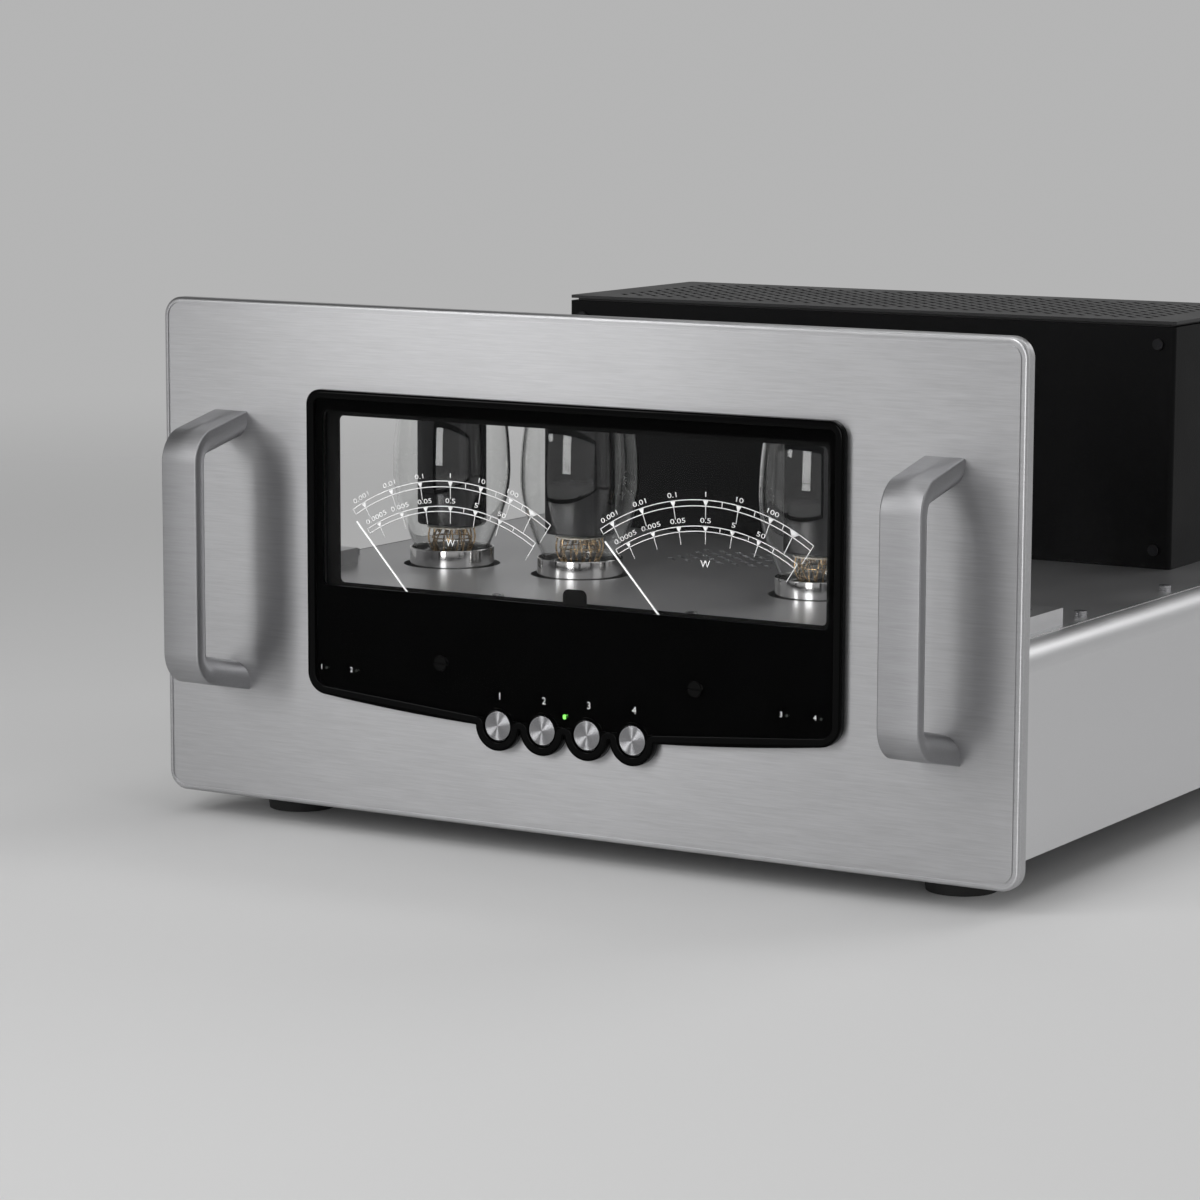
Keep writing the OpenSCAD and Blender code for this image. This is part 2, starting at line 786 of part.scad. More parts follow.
module side_panel() difference() {
  union() {
    along_y(panel_back, rear_inner) side_section();
    for (y = [panel_back, rear_inner - sheet_t])
      translate([side_x - flange_w, y, side_tab_low])
        cube([flange_w - eps, sheet_t, side_tab_high - side_tab_low]);
  }
  for (y = deck_screw_ys)
    bar_z(deck_screw_x, y, deck_low - sheet_t - eps, deck_low + eps, deck_screw_shank + screw_gap);
  for (z = rear_screw_zs)
    bar_y(rear_screw_x, z, rear_inner - sheet_t - eps, rear_inner + eps, deck_screw_shank + screw_gap);
  for (h = handle_screw_hs)
    bar_y(handle_pitch / 2, up(h), panel_back - eps, panel_back + handle_screw_head_t + screw_gap,
      2 * handle_screw_d + screw_gap);
}

module right_side() color("lightgray") side_panel();
module left_side() color("lightgray") mirrored() side_panel();

deck_screw_step = (deck_screw_last_d - deck_screw_first_d) / (deck_screw_count - 1);
deck_screw_ys = [for (i = [0:deck_screw_count - 1]) panel_y + deck_screw_first_d + i * deck_screw_step];

// Slots at 45 degrees on a square grid, inside a field w by l
module slot_field(w, l, x0, y0) {
  nx = floor(w / slot_pitch);
  ny = floor(l / slot_pitch);
  for (i = [0:nx - 1])
    for (j = [0:ny - 1])
      translate([x0 + (i - (nx - 1) / 2) * slot_pitch, y0 + (j - (ny - 1) / 2) * slot_pitch])
        rotate(-45) square([slot_l, slot_w], center = true);
}

module deck_plate() color("lightgray") difference() {
  along_z(deck_low, deck_h) difference() {
    translate([-deck_x + seat_gap, deck_front]) square([2 * (deck_x - seat_gap), deck_back - deck_front]);
    slot_field(deck_vent_w, deck_vent_l, 0, panel_y + deck_vent_d);
  }
  for (x = tube_xs) bar_z(x, tube_y, deck_low - eps, deck_h + eps, tube_hole_dia);
  for (sx = [-1, 1]) {
    bar_z(sx * driver_x, driver_y, deck_low - eps, deck_h + eps, driver_hole_dia);
    for (y = deck_screw_ys)
      bar_z(sx * deck_screw_x, y, deck_low - eps, deck_h + eps, deck_screw_shank + screw_gap);
    bar_z(sx * deck_front_screw_x, deck_front_screw_y, deck_low - eps, deck_h + eps,
      deck_screw_shank + screw_gap);
  }
}

foot_ys = [panel_y + foot_front_d, rear_y - foot_rear_inset];

module at_feet() {
  for (sx = [-1, 1])
    for (y = foot_ys) translate([sx * foot_x, y, 0]) children();
}

foot_screw_dia = 4.2;
foot_screw_head = 9;
foot_screw_head_t = 3;
foot_nut_t = 4;
foot_screw_end = 6;
foot_recess = 10;
foot_recess_gap = 2;
bottom_vent_y = 60;

module bottom_plate() color("gray") difference() {
  along_z(bottom_z, flange_z)
    translate([-inner_x + seat_gap, panel_back + seat_gap])
      difference() {
        square([2 * (inner_x - seat_gap), rear_inner - panel_back - 2 * seat_gap]);
        translate([inner_x, (rear_inner - panel_back) / 2])
          for (row = [-1, 1]) slot_field(deck_vent_w, 2 * slot_pitch, 0, row * bottom_vent_y);
      }
  at_feet() bar_z(0, 0, bottom_z - eps, flange_z + eps, foot_screw_dia + screw_gap);
}

module feet() color([0.12, 0.12, 0.12]) at_feet() difference() {
  cylinder(d1 = foot_dia - foot_taper, d2 = foot_dia, h = foot_h);
  bar_z(0, 0, -eps, foot_recess, foot_screw_head + foot_recess_gap);
  bar_z(0, 0, 0, foot_h + eps, foot_screw_dia + screw_gap);
}

module foot_screws() color("dimgray") at_feet() {
  bar_z(0, 0, foot_recess - foot_screw_head_t, foot_recess, foot_screw_head);
  bar_z(0, 0, foot_recess - eps, flange_z + foot_screw_end, foot_screw_dia);
  bar_z(0, 0, flange_z, flange_z + foot_nut_t, foot_screw_head);
}

// Cap screw with a six-sided recess, its head standing on z
module cap_screw(head, shank, depth) {
  difference() {
    cylinder(d = head, h = deck_screw_head_t);
    translate([0, 0, deck_screw_head_t - hex_t]) cylinder(d = head / 2, h = hex_t + eps, $fn = 6);
  }
  translate([0, 0, -depth]) cylinder(d = shank, h = depth + eps);
}

module chassis_screws() color("gray") for (sx = [-1, 1]) {
  for (y = deck_screw_ys)
    translate([sx * deck_screw_x, y, deck_h])
      cap_screw(deck_screw_dia, deck_screw_shank, 2 * sheet_t);
  translate([sx * deck_front_screw_x, deck_front_screw_y, deck_h])
    cap_screw(deck_screw_dia, deck_screw_shank, 2 * sheet_t);
  for (z = rear_screw_zs)
    translate([sx * rear_screw_x, rear_y, z]) rotate([-90, 0, 0])
      cap_screw(deck_screw_dia, deck_screw_shank, 2 * sheet_t);
}

// Radius of a power tube at height h above the deck: a quarter sine from the neck to the widest
// place, then a quarter ellipse to the top
function bulb_r(h) =
  h < tube_wide_h
    ? tube_neck_r + (tube_dia / 2 - tube_neck_r) * sin(90 * (h - neck_h) / (tube_wide_h - neck_h))
    : tube_dia / 2 * sqrt(max(0, 1 - pow((h - tube_wide_h) / (tube_h - tube_wide_h), 2)));

neck_l = 1;
neck_h = tube_base_h + neck_l;
bulb_steps = 14;

// Half section of a bulb, shrunk inwards by t
function bulb_points(t) = concat(
  [[0, glass_low - deck_h + t], [tube_neck_r - t, glass_low - deck_h + t]],
  [for (i = [0:bulb_steps]) let (h = neck_h + (tube_wide_h - neck_h) * i / bulb_steps) [bulb_r(h) - t, h]],
  [for (i = [1:bulb_steps])
    let (a = 90 * i / bulb_steps)
    [(tube_dia / 2 - t) * cos(a), tube_wide_h + (tube_h - tube_wide_h - t) * sin(a)]]
);

module tube_bulb(i) translate([tube_xs[i], tube_y, deck_h]) rotate_extrude() difference() {
  polygon(bulb_points(0));
  polygon(bulb_points(glass_t));
}

module tube_bulb_1() color([0.8, 0.8, 0.8, 0.3]) tube_bulb(0);
module tube_bulb_2() color([0.8, 0.8, 0.8, 0.3]) tube_bulb(1);
module tube_bulb_3() color([0.8, 0.8, 0.8, 0.3]) tube_bulb(2);
module tube_bulb_4() color([0.8, 0.8, 0.8, 0.3]) tube_bulb(3);

module pin_ring(dia, z0, z1) {
  for (i = [0:7]) rotate(45 * i) bar_z(pin_circle_r, 0, z0, z1, dia);
}

module tube_bases() color("gainsboro") for (x = tube_xs) translate([x, tube_y, 0]) {
  difference() {
    bar_z(0, 0, base_low, deck_h + tube_base_h, tube_base_dia);
    bar_z(0, 0, glass_low, deck_h + tube_base_h + eps, 2 * tube_neck_r + 2 * seat_gap);
  }
  pin_ring(pin_dia, base_low - pin_l, base_low + eps);
}

// Electrode assembly: two insulating discs, anode box with fins, rods to the foot of the bulb
anode_low_h = 26;
anode_l = 62;
anode_w = 30;
anode_depth = 20;
anode_wall = 1;
fin_t = 1.2;
fin_over = 10;
rod_xs = [5, 10];
disc_gap = 1;
disc_r_max = 22;
disc_t = 1.2;
rod_dia = 1.4;

module tube_plates(i) translate([tube_xs[i], tube_y, deck_h]) {
  foot = glass_low - deck_h + glass_t;
  low_disc_r = min(bulb_r(anode_low_h) - glass_t - disc_gap, disc_r_max);
  high_disc_r = min(bulb_r(anode_low_h + anode_l) - glass_t - disc_gap, disc_r_max);
  along_z(anode_low_h - disc_t, anode_low_h + eps) circle(low_disc_r);
  along_z(anode_low_h + anode_l - eps, anode_low_h + anode_l + disc_t) circle(high_disc_r);
  along_z(anode_low_h, anode_low_h + anode_l) difference() {
    union() {
      round_rect(anode_w, anode_depth, anode_depth / 2 - anode_wall);
      square([fin_t, anode_depth + fin_over], center = true);
    }
    round_rect(anode_w - 2 * anode_wall, anode_depth - 2 * anode_wall, anode_depth / 2 - 2 * anode_wall);
  }
  for (sx = [-1, 1])
    for (x = rod_xs) {
      bar_z(sx * x, 0, foot, anode_low_h - disc_t + eps, rod_dia);
      bar_z(0, sx * x, foot, anode_low_h - disc_t + eps, rod_dia);
    }
}

module tube_plates_1() color("darkslategray") tube_plates(0);
module tube_plates_2() color("darkslategray") tube_plates(1);
module tube_plates_3() color("darkslategray") tube_plates(2);
module tube_plates_4() color("darkslategray") tube_plates(3);

module tube_sockets() color("ivory") for (x = tube_xs) translate([x, tube_y, 0]) difference() {
  bar_z(0, 0, board_top, base_low, socket_dia);
  pin_ring(pin_dia + 2 * bearing_gap, base_low - pin_l - 1, base_low + eps);
}

driver_dome_r = driver_dia / 2;
driver_socket_over = 2;

module at_drivers() {
  for (sx = [-1, 1]) translate([sx * driver_x, driver_y, driver_low]) children();
}

module driver_section(t) {
  r = driver_dia / 2 - t;
  translate([0, t]) square([r, driver_h - driver_dome_r - t]);
  intersection() {
    translate([0, driver_h - driver_dome_r]) circle(r);
    translate([0, driver_h - driver_dome_r]) square([r, r]);
  }
}

module driver_bulbs() color([0.8, 0.8, 0.8, 0.3]) at_drivers() rotate_extrude() difference() {
  driver_section(0);
  driver_section(glass_t);
}

driver_disc_gap = 0.6;
driver_plate_low = 8;
driver_plate_top_gap = 4;
driver_plate_w = 5;
driver_plate_depth = 8;
driver_rod_x = 4;
driver_rod_dia = 1;

module driver_plates() color("darkslategray") at_drivers() {
  disc_r = driver_dia / 2 - glass_t - driver_disc_gap;
  low = driver_plate_low;
  high = driver_h - driver_dome_r - driver_plate_top_gap;
  along_z(low, low + disc_t) circle(disc_r);
  along_z(high, high + disc_t) circle(disc_r);
  for (sx = [-1, 1]) {
    translate([sx * disc_r / 2 - driver_plate_w / 2, -driver_plate_depth / 2, low])
      cube([driver_plate_w, driver_plate_depth, high - low + eps]);
    bar_z(sx * driver_rod_x, 0, glass_t, low + eps, driver_rod_dia);
  }
}

module driver_sockets() color("ivory") for (sx = [-1, 1])
  bar_z(sx * driver_x, driver_y, board_top, driver_low, driver_dia + driver_socket_over);

// Rounded box outline of the cover, in plan
module cover_plan(inset) {
  translate([0, (cover_y + cover_back) / 2])
    round_rect(cover_w - 2 * inset, cover_l - 2 * inset, max(0.5, cover_r - inset));
}

cover_screw_rise = 10;
cover_screw_inset = 9;
cover_screw_zs = [deck_h + cover_screw_rise, wall_top - cover_screw_inset];
cover_screw_x = cover_w / 2 - cover_screw_inset;

module cover_shell() color([0.1, 0.1, 0.1]) difference() {
  along_z(deck_h, wall_top) cover_plan(0);
  along_z(deck_h - eps, wall_top - cover_t) cover_plan(cover_t);
  along_z(wall_top - cover_t - eps, wall_top + eps) cover_plan(cover_t + cover_flange);
  for (sx = [-1, 1])
    for (z = cover_screw_zs)
      bar_y(sx * cover_screw_x, z, cover_y - eps, cover_back + eps, cover_screw_shank + screw_gap);
}

module cover_grille() color([0.13, 0.13, 0.13]) {
  along_z(grille_low, cover_top) difference() {
    cover_plan(0);
    slot_field(cover_w - 2 * grille_border, cover_l - 2 * grille_border, 0, (cover_y + cover_back) / 2);
  }
  along_z(wall_top, grille_low + eps) difference() {
    cover_plan(skirt_inset);
    cover_plan(skirt_inset + skirt_w);
  }
}

module cover_screws() color([0.08, 0.08, 0.08])
  for (sx = [-1, 1])
    for (z = cover_screw_zs) {
      bar_y(sx * cover_screw_x, z, cover_y - cover_screw_head_t, cover_y, cover_screw_dia);
      bar_y(sx * cover_screw_x, z, cover_y - eps, cover_y + cover_screw_l, cover_screw_shank);
      bar_y(sx * cover_screw_x, z, cover_back, cover_back + cover_screw_head_t, cover_screw_dia);
      bar_y(sx * cover_screw_x, z, cover_back - cover_screw_l, cover_back + eps, cover_screw_shank);
    }

// Laminated core with a coil round its middle leg, on a mounting plate
transformer_plate_t = 3;
transformer_plate_over = 24;
core_extra_stack = 10;
coil_r = 4;

module transformer(x, w) {
  leg = w / 3;
  yoke = leg / 2;
  tall = w * 5 / 6;
  stack = leg + core_extra_stack;
  coil = yoke - seat_gap;
  y = (cover_y + cover_back) / 2;
  z = deck_h + transformer_plate_t;
  translate([x, y, deck_h]) {
    along_z(0, transformer_plate_t) square([w, stack + transformer_plate_over], center = true);
    translate([0, 0, transformer_plate_t]) difference() {
      translate([-w / 2, -stack / 2, -eps]) cube([w, stack, tall + eps]);
      for (sx = [-1, 1])
        translate([sx * (leg + yoke) / 2 - yoke / 2, -stack / 2 - eps, yoke])
          cube([yoke, stack + 2 * eps, tall - 2 * yoke]);
    }
  }
  translate([x, y, z + yoke + seat_gap]) along_z(0, tall - 2 * yoke - 2 * seat_gap) difference() {
    round_rect(leg + 2 * coil, stack + 2 * coil, coil_r);
    square([leg + 2 * seat_gap, stack + 2 * seat_gap], center = true);
  }
}

module power_transformer() color("saddlebrown") transformer(0, power_core_w);
module left_output_transformer() color("saddlebrown") transformer(-output_x, output_core_w);
module right_output_transformer() color("saddlebrown") transformer(output_x, output_core_w);

board_x = 194;
board_front_d = 74;
board_back_d = 292;
board_front = panel_y + board_front_d;
board_back = panel_y + board_back_d;
standoff_dia = 7;
standoff_inset = 8;
standoff_ys = [board_front + standoff_inset, board_back - standoff_inset];

module main_board() color("darkgreen")
  along_z(board_top - board_t, board_top)
    translate([-board_x, board_front]) square([2 * board_x, board_back - board_front]);

module board_standoffs() color("silver")
  for (x = [-board_x + standoff_inset, 0, board_x - standoff_inset])
    for (y = standoff_ys) bar_z(x, y, board_top, deck_low, standoff_dia);

capacitor_inner_x = 72;
capacitor_outer_x = 120;
capacitor_front_d = 176;
capacitor_rear_d = 232;
capacitor_xs = [for (side = [-1, 1]) for (x = [capacitor_inner_x, capacitor_outer_x]) side * x];
capacitor_ys = [panel_y + capacitor_front_d, panel_y + capacitor_rear_d];

module filter_capacitors() color("black")
  for (x = capacitor_xs)
    for (y = capacitor_ys) bar_z(x, y, board_top - board_t - capacitor_l, board_top - board_t, capacitor_dia);

xlr_dia = 22;
xlr_plate_w = 26;
xlr_plate_h = 31;
xlr_plate_r = 3;
xlr_l = 18;
xlr_recess = 12;
xlr_wall = 2;
xlr_pin_ring_r = 5;
xlr_pin_dia = 2.4;
xlr_pin_short = 2;
plate_t = 2;
phono_l = 10;
phono_collar_t = 1.5;
phono_collar_over = 2.5;
phono_hole_dia = 3.4;
phono_hole_l = 14;

// Rear panel with the rolled sides' corners and the socket holes
module rear_panel() color("lightgray") along_y(rear_inner, rear_y) difference() {
  union() {
    translate([-side_x, bottom_z]) square([chassis_w, deck_h - roll_r - bottom_z]);
    translate([-deck_x, bottom_z]) square([2 * deck_x, deck_h - bottom_z]);
    for (sx = [-1, 1]) translate([sx * deck_x, deck_h - roll_r]) circle(roll_r);
  }
  translate([0, inlet_z]) square([inlet_w + 2 * inlet_wall, inlet_h + 2 * inlet_wall], center = true);
  for (x = post_xs) translate([x, post_h]) circle(d = post_stud_dia + screw_gap);
  for (sx = [-1, 1]) {
    translate([sx * jack_x, xlr_z]) circle(d = xlr_dia + screw_gap);
    translate([sx * jack_x, phono_z]) circle(d = phono_dia + screw_gap);
    for (z = rear_screw_zs) translate([sx * rear_screw_x, z]) circle(d = deck_screw_shank + screw_gap);
  }
}

inlet_flange_t = 3;
inlet_flange_over = 11;
inlet_flange_rise = 4;
inlet_flange_r = 4;
inlet_floor_t = 3;
inlet_lip = 1.5;
inlet_pin_pitch = 7;
inlet_pin_w = 2;
inlet_pin_h = 4;
inlet_pin_l = 14;
inlet_earth_rise = 5;

module mains_inlet() color([0.1, 0.1, 0.1]) {
  translate([0, 0, inlet_z]) difference() {
    union() {
      along_y(rear_y, rear_y + inlet_flange_t)
        round_rect(inlet_w + 2 * inlet_flange_over, inlet_h + 2 * inlet_flange_rise, inlet_flange_r);
      along_y(rear_y - inlet_l, rear_y + eps)
        square([inlet_w + 2 * inlet_wall - screw_gap, inlet_h + 2 * inlet_wall - screw_gap], center = true);
    }
    along_y(rear_y - inlet_l + inlet_floor_t, rear_y + inlet_flange_t + eps)
      square([inlet_w - 2 * inlet_lip, inlet_h - 2 * inlet_lip], center = true);
  }
  for (i = [-1:1])
    translate([
      i * inlet_pin_pitch - inlet_pin_w / 2,
      rear_y - inlet_l + inlet_floor_t - eps,
      inlet_z - inlet_pin_h + (i == 0 ? inlet_earth_rise : 0)
    ]) cube([inlet_pin_w, inlet_pin_l, inlet_pin_h]);
}

module input_jacks() color("goldenrod") for (sx = [-1, 1]) {
  translate([sx * jack_x, 0, xlr_z]) difference() {
    union() {
      along_y(rear_y, rear_y + plate_t) round_rect(xlr_plate_w, xlr_plate_h, xlr_plate_r);
      bar_y(0, 0, rear_y - xlr_l, rear_y + eps, xlr_dia);
    }
    bar_y(0, 0, rear_y - xlr_recess, rear_y + plate_t + eps, xlr_dia - 2 * xlr_wall);
  }
  for (a = [30, 150, 270])
    translate([sx * jack_x + xlr_pin_ring_r * cos(a), 0, xlr_z + xlr_pin_ring_r * sin(a)])
      bar_y(0, 0, rear_y - xlr_recess - eps, rear_y - xlr_pin_short, xlr_pin_dia);
  difference() {
    union() {
      bar_y(sx * jack_x, phono_z, rear_y - phono_l, rear_y + phono_l, phono_dia);
      bar_y(sx * jack_x, phono_z, rear_y, rear_y + phono_collar_t, phono_dia + 2 * phono_collar_over);
    }
    bar_y(sx * jack_x, phono_z, rear_y + phono_l - phono_hole_l, rear_y + phono_l + eps, phono_hole_dia);
  }
}

stud_inner_l = 12;
nut_dia = 12;
nut_t = 3;
bore_l = 15;

module speaker_posts() color("gold") for (x = post_xs) difference() {
  union() {
    bar_y(x, post_h, rear_y - stud_inner_l - sheet_t, rear_y + post_reach, post_stud_dia);
    bar_y(x, post_h, rear_y, rear_y + collar_l, post_knob_dia);
    bar_y(x, post_h, rear_inner - nut_t, rear_inner, nut_dia);
  }
  bar_y(x, post_h, rear_y + post_reach - bore_l, rear_y + post_reach + eps, post_bore_dia);
}

knob_flutes = 10;
knob_flute_dia = 2.4;
knob_flute_out = 0.5;
knob_foot_l = 3;

module speaker_knob(i) translate([post_xs[i], 0, post_h]) difference() {
  bar_y(0, 0, rear_y + collar_l + knob_gap, rear_y + post_reach - knob_gap, post_knob_dia);
  bar_y(0, 0, rear_y, rear_y + post_reach + eps, post_stud_dia + 2 * bearing_gap);
  for (k = [0:knob_flutes - 1]) rotate([0, 360 * k / knob_flutes, 0])
    bar_y(post_knob_dia / 2 + knob_flute_out, 0, rear_y + collar_l + knob_foot_l, rear_y + post_reach + eps,
      knob_flute_dia);
}

module speaker_knob_1() color("firebrick") speaker_knob(0);
module speaker_knob_2() color("firebrick") speaker_knob(1);
module speaker_knob_3() color([0.1, 0.1, 0.1]) speaker_knob(2);
module speaker_knob_4() color([0.1, 0.1, 0.1]) speaker_knob(3);
module speaker_knob_5() color("firebrick") speaker_knob(4);
module speaker_knob_6() color("firebrick") speaker_knob(5);

front_panel();
left_handle();
right_handle();
handle_screws();
fascia();
window_pane();
meter_mask();
scale_plate();
left_needle();
right_needle();
left_movement();
right_movement();
left_zero_screw();
right_zero_screw();
button_1();
button_2();
button_3();
button_4();
switch_board();
indicator_lamps();
fixing_blocks();
left_side();
right_side();
deck_plate();
bottom_plate();
rear_panel();
feet();
foot_screws();
chassis_screws();
tube_bulb_1();
tube_bulb_2();
tube_bulb_3();
tube_bulb_4();
tube_bases();
tube_plates_1();
tube_plates_2();
tube_plates_3();
tube_plates_4();
tube_sockets();
driver_bulbs();
driver_plates();
driver_sockets();
cover_shell();
cover_grille();
cover_screws();
power_transformer();
left_output_transformer();
right_output_transformer();
filter_capacitors();
main_board();
board_standoffs();
mains_inlet();
input_jacks();
speaker_posts();
speaker_knob_1();
speaker_knob_2();
speaker_knob_3();
speaker_knob_4();
speaker_knob_5();
speaker_knob_6();
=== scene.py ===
"""Looks of a stereo valve power amplifier with see-through meters.

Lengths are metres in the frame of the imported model: X runs to the right, Y to the back and Z up from the
floor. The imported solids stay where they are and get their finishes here. Pieces whose real shape is rounder
or finer than the solid are worked out as surfaces and stand for it.
"""
import logging
import math
from dataclasses import dataclass
from enum import Enum
from typing import Callable, ClassVar, Iterable, Sequence, Union

import bmesh
import bpy
import numpy as np
from mathutils import Matrix, Vector


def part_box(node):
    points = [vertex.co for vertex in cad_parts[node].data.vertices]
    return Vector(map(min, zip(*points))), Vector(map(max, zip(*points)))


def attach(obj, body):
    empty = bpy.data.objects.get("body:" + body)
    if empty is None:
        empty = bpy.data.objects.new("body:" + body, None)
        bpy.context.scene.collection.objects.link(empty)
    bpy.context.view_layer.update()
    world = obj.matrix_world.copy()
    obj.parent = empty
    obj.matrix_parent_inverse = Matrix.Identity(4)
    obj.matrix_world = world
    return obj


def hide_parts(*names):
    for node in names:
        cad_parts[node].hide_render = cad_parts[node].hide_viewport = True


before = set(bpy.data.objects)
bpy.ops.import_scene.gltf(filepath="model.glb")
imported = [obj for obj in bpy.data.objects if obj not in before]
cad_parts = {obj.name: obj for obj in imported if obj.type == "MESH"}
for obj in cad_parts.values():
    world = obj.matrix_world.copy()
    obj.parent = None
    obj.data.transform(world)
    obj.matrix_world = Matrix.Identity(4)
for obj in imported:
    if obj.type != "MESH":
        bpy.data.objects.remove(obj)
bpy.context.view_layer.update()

MM = 0.001
SMOOTH_ANGLE = math.radians(35)
MERGE_DISTANCE = 1e-7
LETTER_STEPS = 3
QUARTER = math.pi / 2
X_AXIS, Y_AXIS, Z_AXIS = np.eye(3)
BUTTONS = TUBES = range(1, 5)

Colour = tuple[float, float, float]
Value = Union["Socket", float, int, Sequence[float]]
log = logging.getLogger("amplifier")


class Body(Enum):
    """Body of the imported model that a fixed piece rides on."""

    CHASSIS = "chassis"


class Side(Enum):
    """Left and right, as the sign of X."""

    LEFT = -1
    RIGHT = 1


def operator(operation: str, reflected: bool = False) -> Callable[..., "Socket"]:
    """Method that adds one Math node, with its two values the other way round if reflected."""
    def method(self: "Socket", other: Value = 0.0) -> "Socket":
        """Node of this value and another."""
        pair = (other, self) if reflected else (self, other)
        return self.graph.node("ShaderNodeMath", {"operation": operation}, dict(enumerate(pair)))
    return method


class Socket:
    """Output of a shader node that takes part in Python expressions."""

    __add__ = __radd__ = operator("ADD")
    __sub__, __rsub__ = operator("SUBTRACT"), operator("SUBTRACT", reflected=True)
    __mul__ = __rmul__ = operator("MULTIPLY")
    __abs__ = operator("ABSOLUTE")
    __lt__ = operator("LESS_THAN")
    wave = operator("SINE")

    def __init__(self, graph: "Graph", link: bpy.types.NodeSocket) -> None:
        """Keep the graph and the socket."""
        self.graph = graph
        self.link = link

    def ramp(self, low: float, high: float) -> "Socket":
        """Smooth step from zero at low to one at high."""
        settings = {"interpolation_type": "SMOOTHSTEP"}
        return self.graph.node("ShaderNodeMapRange", settings, {0: self, 1: low, 2: high})


class Graph:
    """Node tree of one material or world."""

    def __init__(self, owner: bpy.types.Material | bpy.types.World) -> None:
        """Start from an empty tree."""
        owner.use_nodes = True
        self.owner = owner
        self.tree = owner.node_tree
        self.tree.nodes.clear()

    def node(self, kind: str, settings: dict | None = None, inputs: dict | None = None,
             output: int | str = 0) -> Socket | None:
        """Add one node.

        Args:
            kind: Blender's name of the node type.
            settings: attributes of the node, set first.
            inputs: values or links of its sockets, by name or number.
            output: name or number of the output that is handed back.

        Returns:
            The chosen output, or nothing for a node without outputs.
        """
        made = self.tree.nodes.new(kind)
        for name, value in (settings or {}).items():
            setattr(made, name, value)
        for key, value in (inputs or {}).items():
            if isinstance(value, Socket):
                self.tree.links.new(value.link, made.inputs[key])
            else:
                made.inputs[key].default_value = value
        return Socket(self, made.outputs[output]) if len(made.outputs) else None

    def point(self) -> Socket:
        """Place of the point in the model's frame, in metres."""
        return self.node("ShaderNodeTexCoord", output="Object")

    def radius(self) -> Socket:
        """Distance of the point from the model's origin."""
        return self.node("ShaderNodeVectorMath", {"operation": "LENGTH"}, {0: self.point()}, "Value")

    def place(self, axis: str) -> Socket:
        """One coordinate of the point."""
        return self.node("ShaderNodeSeparateXYZ", None, {0: self.point()}, axis)

    def noise(self, scale: float | Sequence[float], detail: float = 2.0, rough: float = 0.5) -> Socket:
        """Noise of the point's place.

        Args:
            scale: features per metre, one number or one each along X, Y and Z.
            detail: number of finer octaves.
            rough: weight of the finer octaves.

        Returns:
            The noise, about 0.5 in the middle.
        """
        scales = np.broadcast_to(scale, 3).tolist()
        moved = self.node("ShaderNodeMapping", None, {"Vector": self.point(), "Scale": scales})
        return self.node("ShaderNodeTexNoise", None,
                         {"Vector": moved, "Scale": 1.0, "Detail": detail, "Roughness": rough})

    def cells(self, scale: float) -> Socket:
        """Distance to the nearest of scattered points, scale of them per metre."""
        return self.node("ShaderNodeTexVoronoi", None, {"Vector": self.point(), "Scale": scale})

    def mix(self, factor: Value, first: Colour, second: Colour) -> Socket:
        """Colour between two colours."""
        return self.node("ShaderNodeMix", {"data_type": "RGBA", "clamp_factor": True},
                         {0: factor, 6: (*first, 1.0), 7: (*second, 1.0)}, 2)

    def tone(self, factor: Value, colour: Colour, low: float, high: float = 1.0) -> Socket:
        """Colour between two shades of one colour."""
        return self.mix(factor, *([part * shade for part in colour] for shade in (low, high)))

    def bump(self, height: Socket, distance: float) -> Socket:
        """Normal of a surface raised by height times distance."""
        return self.node("ShaderNodeBump", None, {"Strength": 1.0, "Distance": distance, "Height": height})

    def surface(self, inputs: dict) -> Socket:
        """Principled shader with the given sockets."""
        return self.node("ShaderNodeBsdfPrincipled", None, inputs)

    def blend(self, factor: Value, first: Socket, second: Socket) -> Socket:
        """Shader between two shaders."""
        return self.node("ShaderNodeMixShader", None, {0: factor, 1: first, 2: second})

    def close(self, shader: Socket) -> bpy.types.Material | bpy.types.World:
        """Link the shader to the output and hand the owner out."""
        kind = "World" if isinstance(self.owner, bpy.types.World) else "Material"
        self.node(f"ShaderNodeOutput{kind}", None, {"Surface": shader})
        return self.owner


@dataclass(frozen=True)
class Finish:
    """Base of the finishes: a name, the record's slot and a colour."""

    made: ClassVar[dict[str, bpy.types.Material]] = {}
    name: str
    slot: str
    colour: Colour

    def material(self) -> bpy.types.Material:
        """The material, built on first use."""
        if self.name not in self.made:
            graph = Graph(bpy.data.materials.new(f"{self.name}_finish"))
            self.made[self.name] = graph.close(self.shader(graph))
        return self.made[self.name]

    def shader(self, graph: Graph) -> Socket:
        """Shader of the finish."""
        raise NotImplementedError


